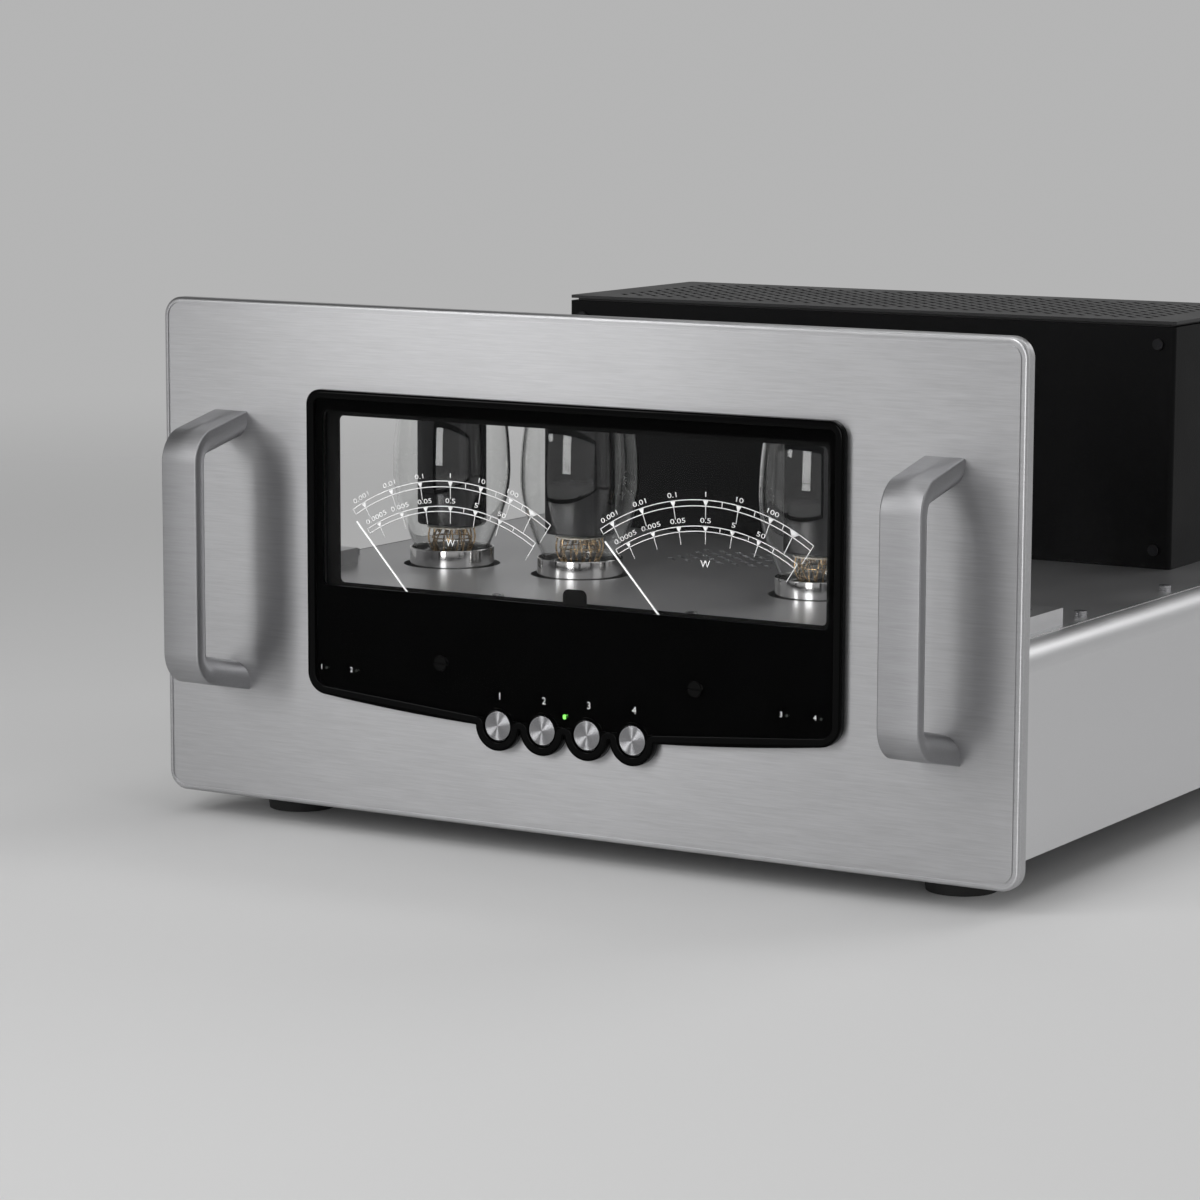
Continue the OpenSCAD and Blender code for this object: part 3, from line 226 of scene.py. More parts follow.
@dataclass(frozen=True)
class Coat(Finish):
    """Base of the opaque finishes, whose tone, roughness and relief vary over the surface.

    Grain and wide are the features per metre of its fine pattern and its wide one.
    """

    roughness: float = 0.42
    swing: float = 0.2
    low: float = 0.85
    high: float = 1.15
    grain: float = 1600.0
    wide: float = 70.0
    depth: float = 0.012 * MM
    metallic: float = 0.0
    specular: float = 0.5

    def coat(self, graph: Graph, tone: Socket, rub: Socket, height: Socket,
             more: dict | None = None) -> Socket:
        """Principled shader of three masks.

        Args:
            graph: tree of the material.
            tone: takes the colour from its low shade to its high one.
            rub: change of the roughness, as a share of its swing.
            height: relief, as a share of its depth.
            more: further inputs of the shader.

        Returns:
            The shader.
        """
        return graph.surface({
            "Base Color": graph.tone(tone, self.colour, self.low, self.high),
            "Metallic": self.metallic,
            "Roughness": self.roughness + rub * self.swing,
            "Specular IOR Level": self.specular,
            "Normal": graph.bump(height, self.depth),
            **(more or {}),
        })


@dataclass(frozen=True)
class BrushedMetal(Coat):
    """Metal with fine straight strokes along X, drawn as noise that is long that way and narrow across."""

    roughness: float = 0.36
    swing: float = 0.22
    low: float = 0.91
    high: float = 1.09
    grain: float = 900.0
    wide: float = 9.0
    depth: float = 0.006 * MM
    metallic: float = 1.0
    stroke_share: float = 0.035
    finer: float = 2.7
    anisotropic: float = 0.6
    turn: float = 0.25

    def shader(self, graph: Graph) -> Socket:
        """Tone, roughness and height follow two layers of strokes."""
        scale = self.grain * np.array([self.stroke_share, 1.0, 1.0])
        streak = graph.noise(scale, 3.0, 0.6) * 0.55 + graph.noise(self.finer * scale, 2.0, 0.6) * 0.45
        tone = (streak * 0.8 + graph.noise(self.wide, 1.0) * 0.2).ramp(0.3, 0.7)
        return self.coat(graph, tone, streak - 0.5, streak,
                         {"Anisotropic": self.anisotropic, "Anisotropic Rotation": self.turn})


@dataclass(frozen=True)
class SatinMetal(Coat):
    """Blasted and anodised metal: fine even grain and faint wide cloudiness."""

    swing: float = 0.12
    low: float = 0.95
    high: float = 1.05
    grain: float = 1900.0
    wide: float = 14.0
    depth: float = 0.004 * MM
    metallic: float = 1.0

    def shader(self, graph: Graph) -> Socket:
        """Grain sets tone and height, wide noise sets the roughness."""
        grain = graph.noise(self.grain, 2.0, 0.6)
        cloud = graph.noise(self.wide, 3.0)
        return self.coat(graph, grain * 0.7 + cloud * 0.3, cloud - 0.5, grain)


@dataclass(frozen=True)
class PolishedMetal(Coat):
    """Plated or turned metal with faint rubbing marks and wide stains."""

    swing: float = 0.14
    low: float = 0.92
    high: float = 1.0
    wide: float = 60.0
    depth: float = 0.002 * MM
    metallic: float = 1.0
    marks: tuple[float, float, float] = (120.0, 120.0, 1500.0)

    def shader(self, graph: Graph) -> Socket:
        """Marks vary the roughness, stains the tone."""
        rub = graph.noise(self.marks, 3.0, 0.6)
        return self.coat(graph, graph.noise(self.wide).ramp(0.3, 0.7), rub - 0.5, rub)


@dataclass(frozen=True)
class Lacquer(Coat):
    """Smooth gloss coat with the faintest waviness and specks of dust."""

    roughness: float = 0.06
    swing: float = 0.12
    low: float = 0.8
    high: float = 1.2
    grain: float = 2500.0
    wide: float = 45.0
    depth: float = 0.02 * MM

    def shader(self, graph: Graph) -> Socket:
        """Wide waves tilt the surface, dust roughens it."""
        wave = graph.noise(self.wide)
        return self.coat(graph, wave, graph.noise(self.grain, 1.0).ramp(0.68, 0.78), wave)


@dataclass(frozen=True)
class TexturedPaint(Coat):
    """Powder coat: small rounded pebbles and faint cloudiness."""

    roughness: float = 0.46
    swing: float = 0.16
    low: float = 0.75
    high: float = 1.25
    grain: float = 900.0
    wide: float = 25.0
    depth: float = 0.03 * MM

    def shader(self, graph: Graph) -> Socket:
        """Pebbles are the distance to scattered points."""
        pebble = graph.cells(self.grain)
        patch = graph.noise(self.wide, 3.0)
        return self.coat(graph, patch * 0.5 + pebble * 0.5, patch - 0.5, pebble)


@dataclass(frozen=True)
class Plastic(Coat):
    """Moulded plastic or rubber with a fine matt grain."""

    def shader(self, graph: Graph) -> Socket:
        """Fine noise raises the grain, wide noise changes the tone."""
        grain = graph.noise(self.grain)
        return self.coat(graph, graph.noise(self.wide), grain - 0.5, grain)


@dataclass(frozen=True)
class LaminatedCore(Coat):
    """Stack of varnished iron sheets."""

    roughness: float = 0.45
    low: float = 0.6
    high: float = 1.4
    wide: float = 90.0
    depth: float = 0.05 * MM
    metallic: float = 0.4
    sheet: float = 0.5 * MM

    def shader(self, graph: Graph) -> Socket:
        """Sheets show as fine stripes across the stack, with a mottled varnish."""
        stripe = (graph.place("Y") * (QUARTER / self.sheet)).wave()
        mottle = graph.noise(self.wide, 3.0)
        return self.coat(graph, stripe * 0.25 + mottle, mottle, stripe)


@dataclass(frozen=True)
class ClearSheet(Finish):
    """Clear plate or glass wall that lets lamps through."""

    index: float = 1.1
    smear: float = 0.01
    smears: float = 30.0

    def shader(self, graph: Graph) -> Socket:
        """Refracting shader with faint smears, swapped for a clear one on the way to a lamp."""
        colour = (*self.colour, 1.0)
        glass = graph.surface({
            "Base Color": colour,
            "Roughness": graph.noise(self.smears, 3.0).ramp(0.55, 0.8) * self.smear,
            "Transmission Weight": 1.0,
            "IOR": self.index,
        })
        clear = graph.node("ShaderNodeBsdfTransparent", None, {"Color": colour})
        return graph.blend(graph.node("ShaderNodeLightPath", output="Is Shadow Ray"), glass, clear)


@dataclass(frozen=True)
class TubeGlass(ClearSheet):
    """Glass of a tube, silvered inside its top by the getter between two depths below the top."""

    smear: float = 0.02
    top: float = 0.0
    fade: tuple[float, float] = (20 * MM, 12 * MM)
    ragged: float = 8 * MM
    rags: float = 180.0
    silver: Colour = (0.62, 0.60, 0.57)

    def shader(self, graph: Graph) -> Socket:
        """Clear below, mirror above, with a ragged edge between the two."""
        ragged = graph.noise(self.rags, 4.0, 0.6)
        height = graph.place("Z") + (ragged - 0.5) * self.ragged
        mirror = graph.surface({
            "Base Color": graph.tone(ragged, self.silver, 0.7),
            "Metallic": 1.0,
            "Roughness": 0.08 + ragged * 0.1,
        })
        silvered = height.ramp(self.top - self.fade[0], self.top - self.fade[1])
        return graph.blend(silvered, super().shader(graph), mirror)


@dataclass(frozen=True)
class Print(Finish):
    """Printed ink with a painted glow, an emission that stands for light from the plate's edge."""

    glow: float = 0.1
    specks: float = 3000.0

    def shader(self, graph: Graph) -> Socket:
        """Ink density varies with fine noise, and the ink gives off a painted glow of its own."""
        density = graph.noise(self.specks).ramp(0.2, 0.6)
        ink = graph.tone(density, self.colour, 0.85)
        # Painted glow: the ink's emission brightens it although it is no lamp
        return graph.surface({"Base Color": ink, "Roughness": 0.5 + density * 0.1, "Emission Color": ink,
                              "Emission Strength": self.glow})


@dataclass(frozen=True)
class LampLens(Finish):
    """Small lenses of which only the ones near the middle are lit."""

    dark: Colour = (0.03, 0.035, 0.03)
    lit_half: float = 0.8 * MM
    glow: float = 1.8
    grain: float = 2000.0

    def shader(self, graph: Graph) -> Socket:
        """Colour and light are masked by the distance from the middle plane."""
        lit = abs(graph.place("X")) < self.lit_half
        return graph.surface({
            "Base Color": graph.mix(lit, self.dark, self.colour),
            "Roughness": 0.15 + graph.noise(self.grain, 1.0) * 0.1,
            "Emission Color": graph.tone(lit, self.colour, 0.0),
            "Emission Strength": self.glow,
        })


@dataclass(frozen=True)
class CircuitBoard(Finish):
    """Solder mask over copper tracks, with tinned pads."""

    track: Colour = (0.03, 0.16, 0.06)
    pad: Colour = (0.6, 0.58, 0.5)
    pad_share: float = 0.16
    pitch: float = 5.08 * MM
    bands: float = 40.0
    runs: tuple[float, float, float] = (60.0, 260.0, 260.0)
    relief: float = 0.02 * MM

    def shader(self, graph: Graph) -> Socket:
        """Tracks are bands of noise, pads are small cells on a scattered layout."""
        run = graph.noise(self.runs, 1.0)
        band = (run * self.bands).wave().ramp(0.2, 0.4)
        mask = graph.surface({
            "Base Color": graph.mix(band, self.colour, self.track),
            "Roughness": 0.3 + run * 0.1,
            "Normal": graph.bump(band, self.relief),
        })
        tin = graph.surface({"Base Color": (*self.pad, 1.0), "Metallic": 1.0, "Roughness": 0.3})
        return graph.blend(graph.cells(1 / self.pitch) < self.pad_share, mask, tin)


HANDLE_METAL = BrushedMetal("brushed_handle", "handle_aluminium", (0.38, 0.38, 0.39), roughness=0.47,
                            grain=1100.0)
RIM_LACQUER = Lacquer("gloss_rim", "gloss_black", (0.0008, 0.0008, 0.0009), specular=0.08)
# Scale and label inks glow a little through the Print finish's emission: painted light
SCALE_INK = Print("scale_ink", "needle_white", (0.72,) * 3, glow=0.05)
LABEL_INK = Print("label_ink", "needle_white", (0.75,) * 3)
SPUN_METAL = PolishedMetal("spun_button", "spun_aluminium", (0.32, 0.32, 0.33), roughness=0.2)
SEAM_METAL = PolishedMetal("cut_edge", "satin_aluminium", (0.86, 0.86, 0.87), roughness=0.22)
CHROME = PolishedMetal("base_chrome", "base_chrome", (0.55, 0.545, 0.54), roughness=0.1)
LEAD_WIRE = PolishedMetal("lead_wire", "jack_gold", (0.86, 0.62, 0.36), roughness=0.26, low=0.2, wide=240.0)
ANODE_GREY = SatinMetal("carbon_anode", "anode_grey", (0.012, 0.012, 0.0127), roughness=0.34, low=0.9,
                        high=1.1, depth=0.005 * MM)
MICA = TexturedPaint("mica_disc", "socket_ceramic", (0.42, 0.38, 0.31), roughness=0.3, grain=600.0,
                     depth=0.01 * MM)
BASE_CEMENT = Plastic("base_cement", "inlet_black", (0.012,) * 3, roughness=0.6)
GLASS_TINT = (0.97, 0.975, 0.97)
NODE_FINISHES: list[tuple[Finish, str]] = [
    (BrushedMetal("brushed_panel", "brushed_aluminium", (0.52, 0.52, 0.53), anisotropic=0.8), "front_panel"),
    (Lacquer("gloss_field", "gloss_black", (0.0012,) * 3, roughness=0.3, specular=0.02), "fascia"),
    (ClearSheet("clear_pane", "clear_acrylic", (1.0,) * 3), "window_pane"),
    (TexturedPaint("mask_paint", "mask_black", (0.0025,) * 3, roughness=0.7, grain=2500.0,
                   depth=0.005 * MM, specular=0.1), "meter_mask"),
    (ClearSheet("clear_scale_plate", "clear_acrylic", (1.0,) * 3), "scale_plate"),
    # Needle paint glows a little through the Print finish's emission: painted light
    (Print("needle_paint", "needle_white", (0.8,) * 3), "left_needle right_needle"),
    (Plastic("movement_case", "movement_case", (0.025, 0.025, 0.027), roughness=0.4),
     "left_movement right_movement"),
    (Lacquer("black_zero_screw", "zero_screw_black", (0.003,) * 3, roughness=0.35, specular=0.06),
     "left_zero_screw right_zero_screw"),
    (CircuitBoard("circuit_board", "circuit_board", (0.012, 0.07, 0.028)), "switch_board main_board"),
    (LampLens("lamp_green", "lamp_green", (0.16, 0.75, 0.08)), "indicator_lamps"),
    (SatinMetal("satin_block", "satin_aluminium", (0.66, 0.66, 0.67), roughness=0.34),
     "fixing_blocks board_standoffs"),
    (SatinMetal("satin_side", "satin_aluminium", (0.74, 0.74, 0.75), roughness=0.38),
     "left_side right_side rear_panel"),
    (SatinMetal("satin_deck", "satin_aluminium", (0.62, 0.62, 0.63), roughness=0.36), "deck_plate"),
    (SatinMetal("grey_bottom", "bottom_grey", (0.32, 0.32, 0.33)), "bottom_plate"),
    (Plastic("foot_rubber", "foot_rubber", (0.018,) * 3, roughness=0.72, depth=0.03 * MM), "feet"),
    (PolishedMetal("screw_steel", "screw_steel", (0.42, 0.42, 0.43), roughness=0.28),
     "handle_screws foot_screws chassis_screws"),
    (Plastic("socket_ceramic", "socket_ceramic", (0.55, 0.53, 0.48), roughness=0.35),
     "tube_sockets driver_sockets"),
    (TexturedPaint("cover_paint", "cover_black", (0.004, 0.004, 0.0043), specular=0.08), "cover_shell"),
    (TexturedPaint("grille_paint", "cover_black", (0.014, 0.014, 0.015), roughness=0.42, specular=0.4),
     "cover_grille"),
    (PolishedMetal("black_screw", "cover_black", (0.03, 0.03, 0.032), roughness=0.35), "cover_screws"),
    (LaminatedCore("core_iron", "core_iron", (0.09, 0.085, 0.08)),
     "power_transformer left_output_transformer right_output_transformer"),
    (Plastic("capacitor_sleeve", "capacitor_sleeve", (0.02, 0.025, 0.04), roughness=0.3),
     "filter_capacitors"),
    (Plastic("inlet_black", "inlet_black", (0.016, 0.016, 0.017)), "mains_inlet"),
    (PolishedMetal("jack_gold", "jack_gold", (0.83, 0.6, 0.27), roughness=0.2), "input_jacks speaker_posts"),
    (Plastic("knob_red", "knob_red", (0.34, 0.018, 0.018), roughness=0.3),
     "speaker_knob_1 speaker_knob_2 speaker_knob_5 speaker_knob_6"),
    (Plastic("knob_black", "knob_black", (0.015, 0.015, 0.016), roughness=0.3),
     "speaker_knob_3 speaker_knob_4"),
]


def turns(steps: int) -> np.ndarray:
    """Angles of equal steps round a circle."""
    return np.linspace(0, 2 * math.pi, steps, endpoint=False)


def circle(radius: float, steps: int) -> np.ndarray:
    """Points on a circle round the origin."""
    angle = turns(steps)
    return radius * np.column_stack([np.cos(angle), np.sin(angle)])


def upright(centre: np.ndarray, x: float, low: float, high: float) -> np.ndarray:
    """Path of two places, one above the other, x beside the centre."""
    return centre + np.array([[x, 0.0, low], [x, 0.0, high]])


def add_object(name: str, data: bpy.types.ID) -> bpy.types.Object:
    """Object in the scene that shows the given data."""
    made = bpy.data.objects.new(name, data)
    bpy.context.scene.collection.objects.link(made)
    return made


@dataclass
class Surface:
    """Points and faces of a surface."""

    points: np.ndarray
    faces: list[list[int]]

    @classmethod
    def grid(cls, points: np.ndarray, wrap_rows: bool = False, wrap_columns: bool = False,
             flip: bool = False) -> "Surface":
        """Quads between neighbouring points of a grid.

        Args:
            points: places, rows by columns by three.
            wrap_rows: join the last row to the first.
            wrap_columns: join the last column to the first.
            flip: turn the faces round.

        Returns:
            The surface.
        """
        rows, columns = points.shape[:2]
        index = np.arange(rows * columns).reshape(rows, columns)
        if wrap_rows:
            index = np.vstack([index, index[:1]])
        if wrap_columns:
            index = np.hstack([index, index[:, :1]])
        corners = [index[:-1, :-1], index[1:, :-1], index[1:, 1:], index[:-1, 1:]]
        quads = np.stack(corners[::-1] if flip else corners, axis=-1).reshape(-1, 4)
        return cls(points.reshape(-1, 3), quads.tolist())

    @classmethod
    def revolve(cls, section: np.ndarray, centre: Sequence[float], steps: int = 72,
                closed: bool = False) -> "Surface":
        """Section turned round an upright axis: x = r cos a, y = r sin a, z = h.

        Args:
            section: radius and height of each point, upwards on the outer side.
            centre: foot of the axis.
            steps: number of steps round the axis.
            closed: join the section's end to its start.

        Returns:
            The surface, facing away from the axis where the section runs upwards.
        """
        angle = turns(steps)[None, :]
        radius, height = section[:, :1], section[:, 1:]
        places = np.stack([radius * np.cos(angle), radius * np.sin(angle),
                           height + 0 * angle], axis=-1) + np.asarray(centre)
        return cls.grid(places, wrap_rows=closed, wrap_columns=True, flip=True)

    @classmethod
    def sweep(cls, section: np.ndarray, path: np.ndarray, across: np.ndarray = X_AXIS,
              up: np.ndarray = Y_AXIS, closed: bool = False) -> "Surface":
        """Section carried along a path: place = path + u across + v up, with flat ends on an open path.

        Args:
            section: u and v of each point of a closed outline.
            path: places of the section's origin.
            across: direction of u, one for all places or one each.
            up: direction of v, likewise.
            closed: join the path's end to its start.

        Returns:
            The surface.
        """
        u, v = section[None, :, :1], section[None, :, 1:]
        across, up = (np.broadcast_to(way, path.shape)[:, None] for way in (across, up))
        made = cls.grid(path[:, None] + u * across + v * up, wrap_rows=closed, wrap_columns=True)
        if not closed:
            last = len(made.points) - len(section)
            made.faces.append(list(range(len(section)))[::-1])
            made.faces.append(list(range(last, len(made.points))))
        return made

    @classmethod
    def rod(cls, path: np.ndarray, radius: float, sides: int = 10) -> "Surface":
        """Round wire along a path that runs mostly upwards."""
        return cls.sweep(circle(radius, sides), path)

    @classmethod
    def joined(cls, parts: Iterable["Surface"]) -> "Surface":
        """Several surfaces as one."""
        points: list[np.ndarray] = []
        faces: list[list[int]] = []
        start = 0
        for part in parts:
            points.append(part.points)
            faces += [[start + corner for corner in face] for face in part.faces]
            start += len(part.points)
        return cls(np.vstack(points), faces)

    def piece(self, name: str, finish: Finish, body: str = Body.CHASSIS.value,
              replaces: Sequence[str] = (), outward: bool = True) -> bpy.types.Object:
        """Make the surface a piece of the object.

        Args:
            name: name of the piece.
            finish: its finish.
            body: body that it rides on.
            replaces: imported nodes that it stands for.
            outward: work out afresh which way the faces point.

        Returns:
            The piece.
        """
        mesh = bpy.data.meshes.new(name)
        mesh.from_pydata(self.points.tolist(), [], self.faces)
        work = bmesh.new()
        work.from_mesh(mesh)
        bmesh.ops.remove_doubles(work, verts=work.verts, dist=MERGE_DISTANCE)
        if outward:
            bmesh.ops.recalc_face_normals(work, faces=work.faces)
        work.to_mesh(mesh)
        work.free()
        mesh.polygons.foreach_set("use_smooth", [True] * len(mesh.polygons))
        mesh.set_sharp_from_angle(angle=SMOOTH_ANGLE)
        mesh.materials.append(finish.material())
        made = add_object(name, mesh)
        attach(made, body)
        if replaces:
            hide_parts(*replaces)
        log.info("piece %s: %d faces, %s", name, len(mesh.polygons), finish.name)
        return made


def thicken(piece: bpy.types.Object, thickness: float) -> None:
    """Give a flat piece a thickness, out of its front."""
    solid = piece.modifiers.new("thickness", "SOLIDIFY")
    solid.thickness = thickness
    solid.offset = 1.0


def arc(centre: Sequence[float], radius: float, start: float, end: float, steps: int) -> np.ndarray:
    """Points on an arc from one angle to another, angles in radians from the first axis."""
    angle = np.linspace(start, end, steps)
    return np.stack([centre[0] + radius * np.cos(angle), centre[1] + radius * np.sin(angle)], axis=-1)


def rounded_bar(width: float, height: float, radius: float, steps: int = 6) -> np.ndarray:
    """Outline of a rectangle with round corners, anticlockwise round the origin."""
    x, y = width / 2 - radius, height / 2 - radius
    corners = [(x, y), (-x, y), (-x, -y), (x, -y)]
    return np.vstack([arc(corner, radius, k * QUARTER, (k + 1) * QUARTER, steps)
                      for k, corner in enumerate(corners)])


def words(text: str, size: float) -> Surface:
    """Letters as a flat surface in X and Y, centred on their own box."""
    curve = bpy.data.curves.new("letters", "FONT")
    curve.body, curve.size, curve.resolution_u = text, size, LETTER_STEPS
    holder = add_object("letters", curve)
    mesh = bpy.data.meshes.new_from_object(holder.evaluated_get(bpy.context.evaluated_depsgraph_get()))
    flat = np.zeros(3 * len(mesh.vertices))
    mesh.vertices.foreach_get("co", flat)
    points = flat.reshape(-1, 3)
    points -= (points.min(0) + points.max(0)) / 2
    faces = [list(face.vertices) for face in mesh.polygons]
    bpy.data.objects.remove(holder)
    bpy.data.curves.remove(curve)
    bpy.data.meshes.remove(mesh)
    return Surface(points, faces)


def on_front(flat: Surface, x: float, z: float, y: float) -> Surface:
    """Flat surface in X and Y set upright on a front face."""
    u, v = flat.points[:, 0], flat.points[:, 1]
    return Surface(np.column_stack([x + u, np.full_like(u, y), z + v]), flat.faces)


def middle(node: str) -> Vector:
    """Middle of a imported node's box."""
    low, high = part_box(node)
    return (low + high) / 2


@dataclass
class Handles:
    """Two bent handles whose bar is flat outside and half round inside, with arms that slope inwards."""

    edge_t: float = 3.5 * MM
    lean: float = math.radians(12.3)
    bend_r: float = 17 * MM
    edge_r: float = 0.8 * MM
    bend_steps: int = 20
    edge_steps: int = 6
    round_steps: int = 25

    def build(self) -> None:
        """Make both handles."""
        for side in Side:
            self._handle(f"{side.name.lower()}_handle")

    def _handle(self, node: str) -> None:
        """Carry the bar's section along its bent outer face, whose line lies in Y and Z."""
        low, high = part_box(node)
        secant = 1 / math.cos(self.lean)
        turn_y = low.y + self.bend_r
        drop = math.tan(self.lean) * (high.y - turn_y) + self.bend_r * secant
        start, end = QUARTER + self.lean, 3 * QUARTER - self.lean
        top = arc((turn_y, high.z - drop), self.bend_r, start, math.pi, self.bend_steps)
        bottom = arc((turn_y, low.z + drop), self.bend_r, math.pi, end, self.bend_steps)
        line = np.vstack([[high.y, high.z], top, bottom, [high.y, low.z]])
        angle = np.concatenate([[start], np.linspace(start, math.pi, self.bend_steps),
                                np.linspace(math.pi, end, self.bend_steps), [end]])
        count = len(line)
        path = np.column_stack([np.full(count, (low.x + high.x) / 2), line])
        out = np.column_stack([np.zeros(count), np.cos(angle), np.sin(angle)])
        out[[0, -1]] = [[0.0, 0.0, secant], [0.0, 0.0, -secant]]
        bar = Surface.sweep(self._section((high.x - low.x) / 2), path, X_AXIS, out)
        bar.piece(f"bent_{node}", HANDLE_METAL, replaces=(node,))

    def _section(self, half: float) -> np.ndarray:
        """Outline below the outer face: two eased edges, straight sides and a half round."""
        inset = half - self.edge_r
        right = arc((inset, -self.edge_r), self.edge_r, 0.0, QUARTER, self.edge_steps)
        left = arc((-inset, -self.edge_r), self.edge_r, QUARTER, math.pi, self.edge_steps)
        inner = arc((0.0, -self.edge_t), half, math.pi, 2 * math.pi, self.round_steps)
        return np.vstack([right, left, inner])


@dataclass
class FasciaBead:
    """Rounded bead over the fascia's rim, round the outline and the scallops below the buttons."""

    top_r: float = 7.5 * MM
    foot_r: float = 11 * MM
    arc_r: float = 1240 * MM
    arc_drop: float = 1.3 * MM
    scallop_r: float = 12.3 * MM
    overhang: float = 0.1 * MM
    width: float = 4.22 * MM
    outer_round: float = 1.5 * MM
    inner_round: float = 0.6 * MM
    clear: float = 0.03 * MM
    corner_steps: int = 14
    scallop_steps: int = 40
    fan_steps: int = 8
    round_steps: int = 8

    def _section(self) -> np.ndarray:
        """Inset from the outline and place along Y, from the outer foot to the inner one."""
        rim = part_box("fascia")
        foot_y, pane_y = rim[1].y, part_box("window_pane")[0].y
        top_y = rim[0].y - self.overhang
        outer = arc((self.outer_round - self.overhang, top_y + self.outer_round), self.outer_round,
                    math.pi, 3 * QUARTER, self.round_steps)
        inner = arc((self.width - self.inner_round, top_y + self.inner_round), self.inner_round,
                    3 * QUARTER, 4 * QUARTER, self.round_steps)
        return np.vstack([[-self.overhang, foot_y - self.clear], outer, inner,
                          [self.width, pane_y - self.clear]])

    def _outline(self) -> tuple[np.ndarray, np.ndarray]:
        """Outline in X and Z and the angle of its inward normal, clockwise from the top right.

        Returns:
            Places and angles. Where two curves meet in a corner, the angle turns in place.
        """
        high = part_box("fascia")[1]
        buttons = [middle(f"button_{i}") for i in (4, 3, 2, 1)]
        half, top = high.x, high.z
        arc_z = buttons[0].z - self.arc_drop + self.arc_r
        foot_x = half - self.foot_r
        foot_z = arc_z - math.sqrt((self.arc_r - self.foot_r) ** 2 - foot_x ** 2)
        lean = math.atan2(foot_x, arc_z - foot_z)

        def edge_z(x: float) -> float:
            """Height of the lower edge."""
            return arc_z - math.sqrt(self.arc_r ** 2 - x ** 2)

        def fan(point: np.ndarray, start: float, end: float) -> tuple[np.ndarray, np.ndarray]:
            """Turn of the normal in place."""
            return np.tile(point, (self.fan_steps, 1)), np.linspace(start, end, self.fan_steps)

        def bend(x: float, z: float, radius: float, start: float, end: float,
                 steps: int = self.corner_steps) -> tuple[np.ndarray, np.ndarray]:
            """Arc with its normals to the centre."""
            return arc((x, z), radius, start, end, steps), np.linspace(start, end, steps) + math.pi

        runs = [bend(half - self.top_r, top - self.top_r, self.top_r, QUARTER, 0.0),
                bend(foot_x, foot_z, self.foot_r, 0.0, lean - QUARTER)]
        for button in buttons:
            right, left = (math.asin((edge_z(button.x + reach) - button.z) / self.scallop_r)
                           for reach in (self.scallop_r, -self.scallop_r))
            scallop = bend(button.x, button.z, self.scallop_r, right, -math.pi - left, self.scallop_steps)
            runs += [fan(scallop[0][0], QUARTER, right + math.pi), scallop,
                     fan(scallop[0][-1], -left, QUARTER)]
        runs += [bend(-foot_x, foot_z, self.foot_r, -QUARTER - lean, -2 * QUARTER),
                 bend(-half + self.top_r, top - self.top_r, self.top_r, -2 * QUARTER, -3 * QUARTER)]
        places, angles = zip(*runs)
        return np.vstack(places), np.concatenate(angles)

    def build(self) -> None:
        """Carry the bead's section round the outline."""
        outline, angle = self._outline()
        count = len(outline)
        path = np.column_stack([outline[:, 0], np.zeros(count), outline[:, 1]])
        inward = np.column_stack([np.cos(angle), np.zeros(count), np.sin(angle)])
        bead = Surface.sweep(self._section(), path, inward, Y_AXIS, closed=True)
        bead.piece("fascia_bead", RIM_LACQUER)


@dataclass(frozen=True)
class ScaleArc:
    """Double arc of a scale: two radii, half its angle, and its ticks' angles and numbers."""

    radii: tuple[float, float]
    reach: float
    ticks: tuple[float, ...]
    numbers: tuple[str, ...]


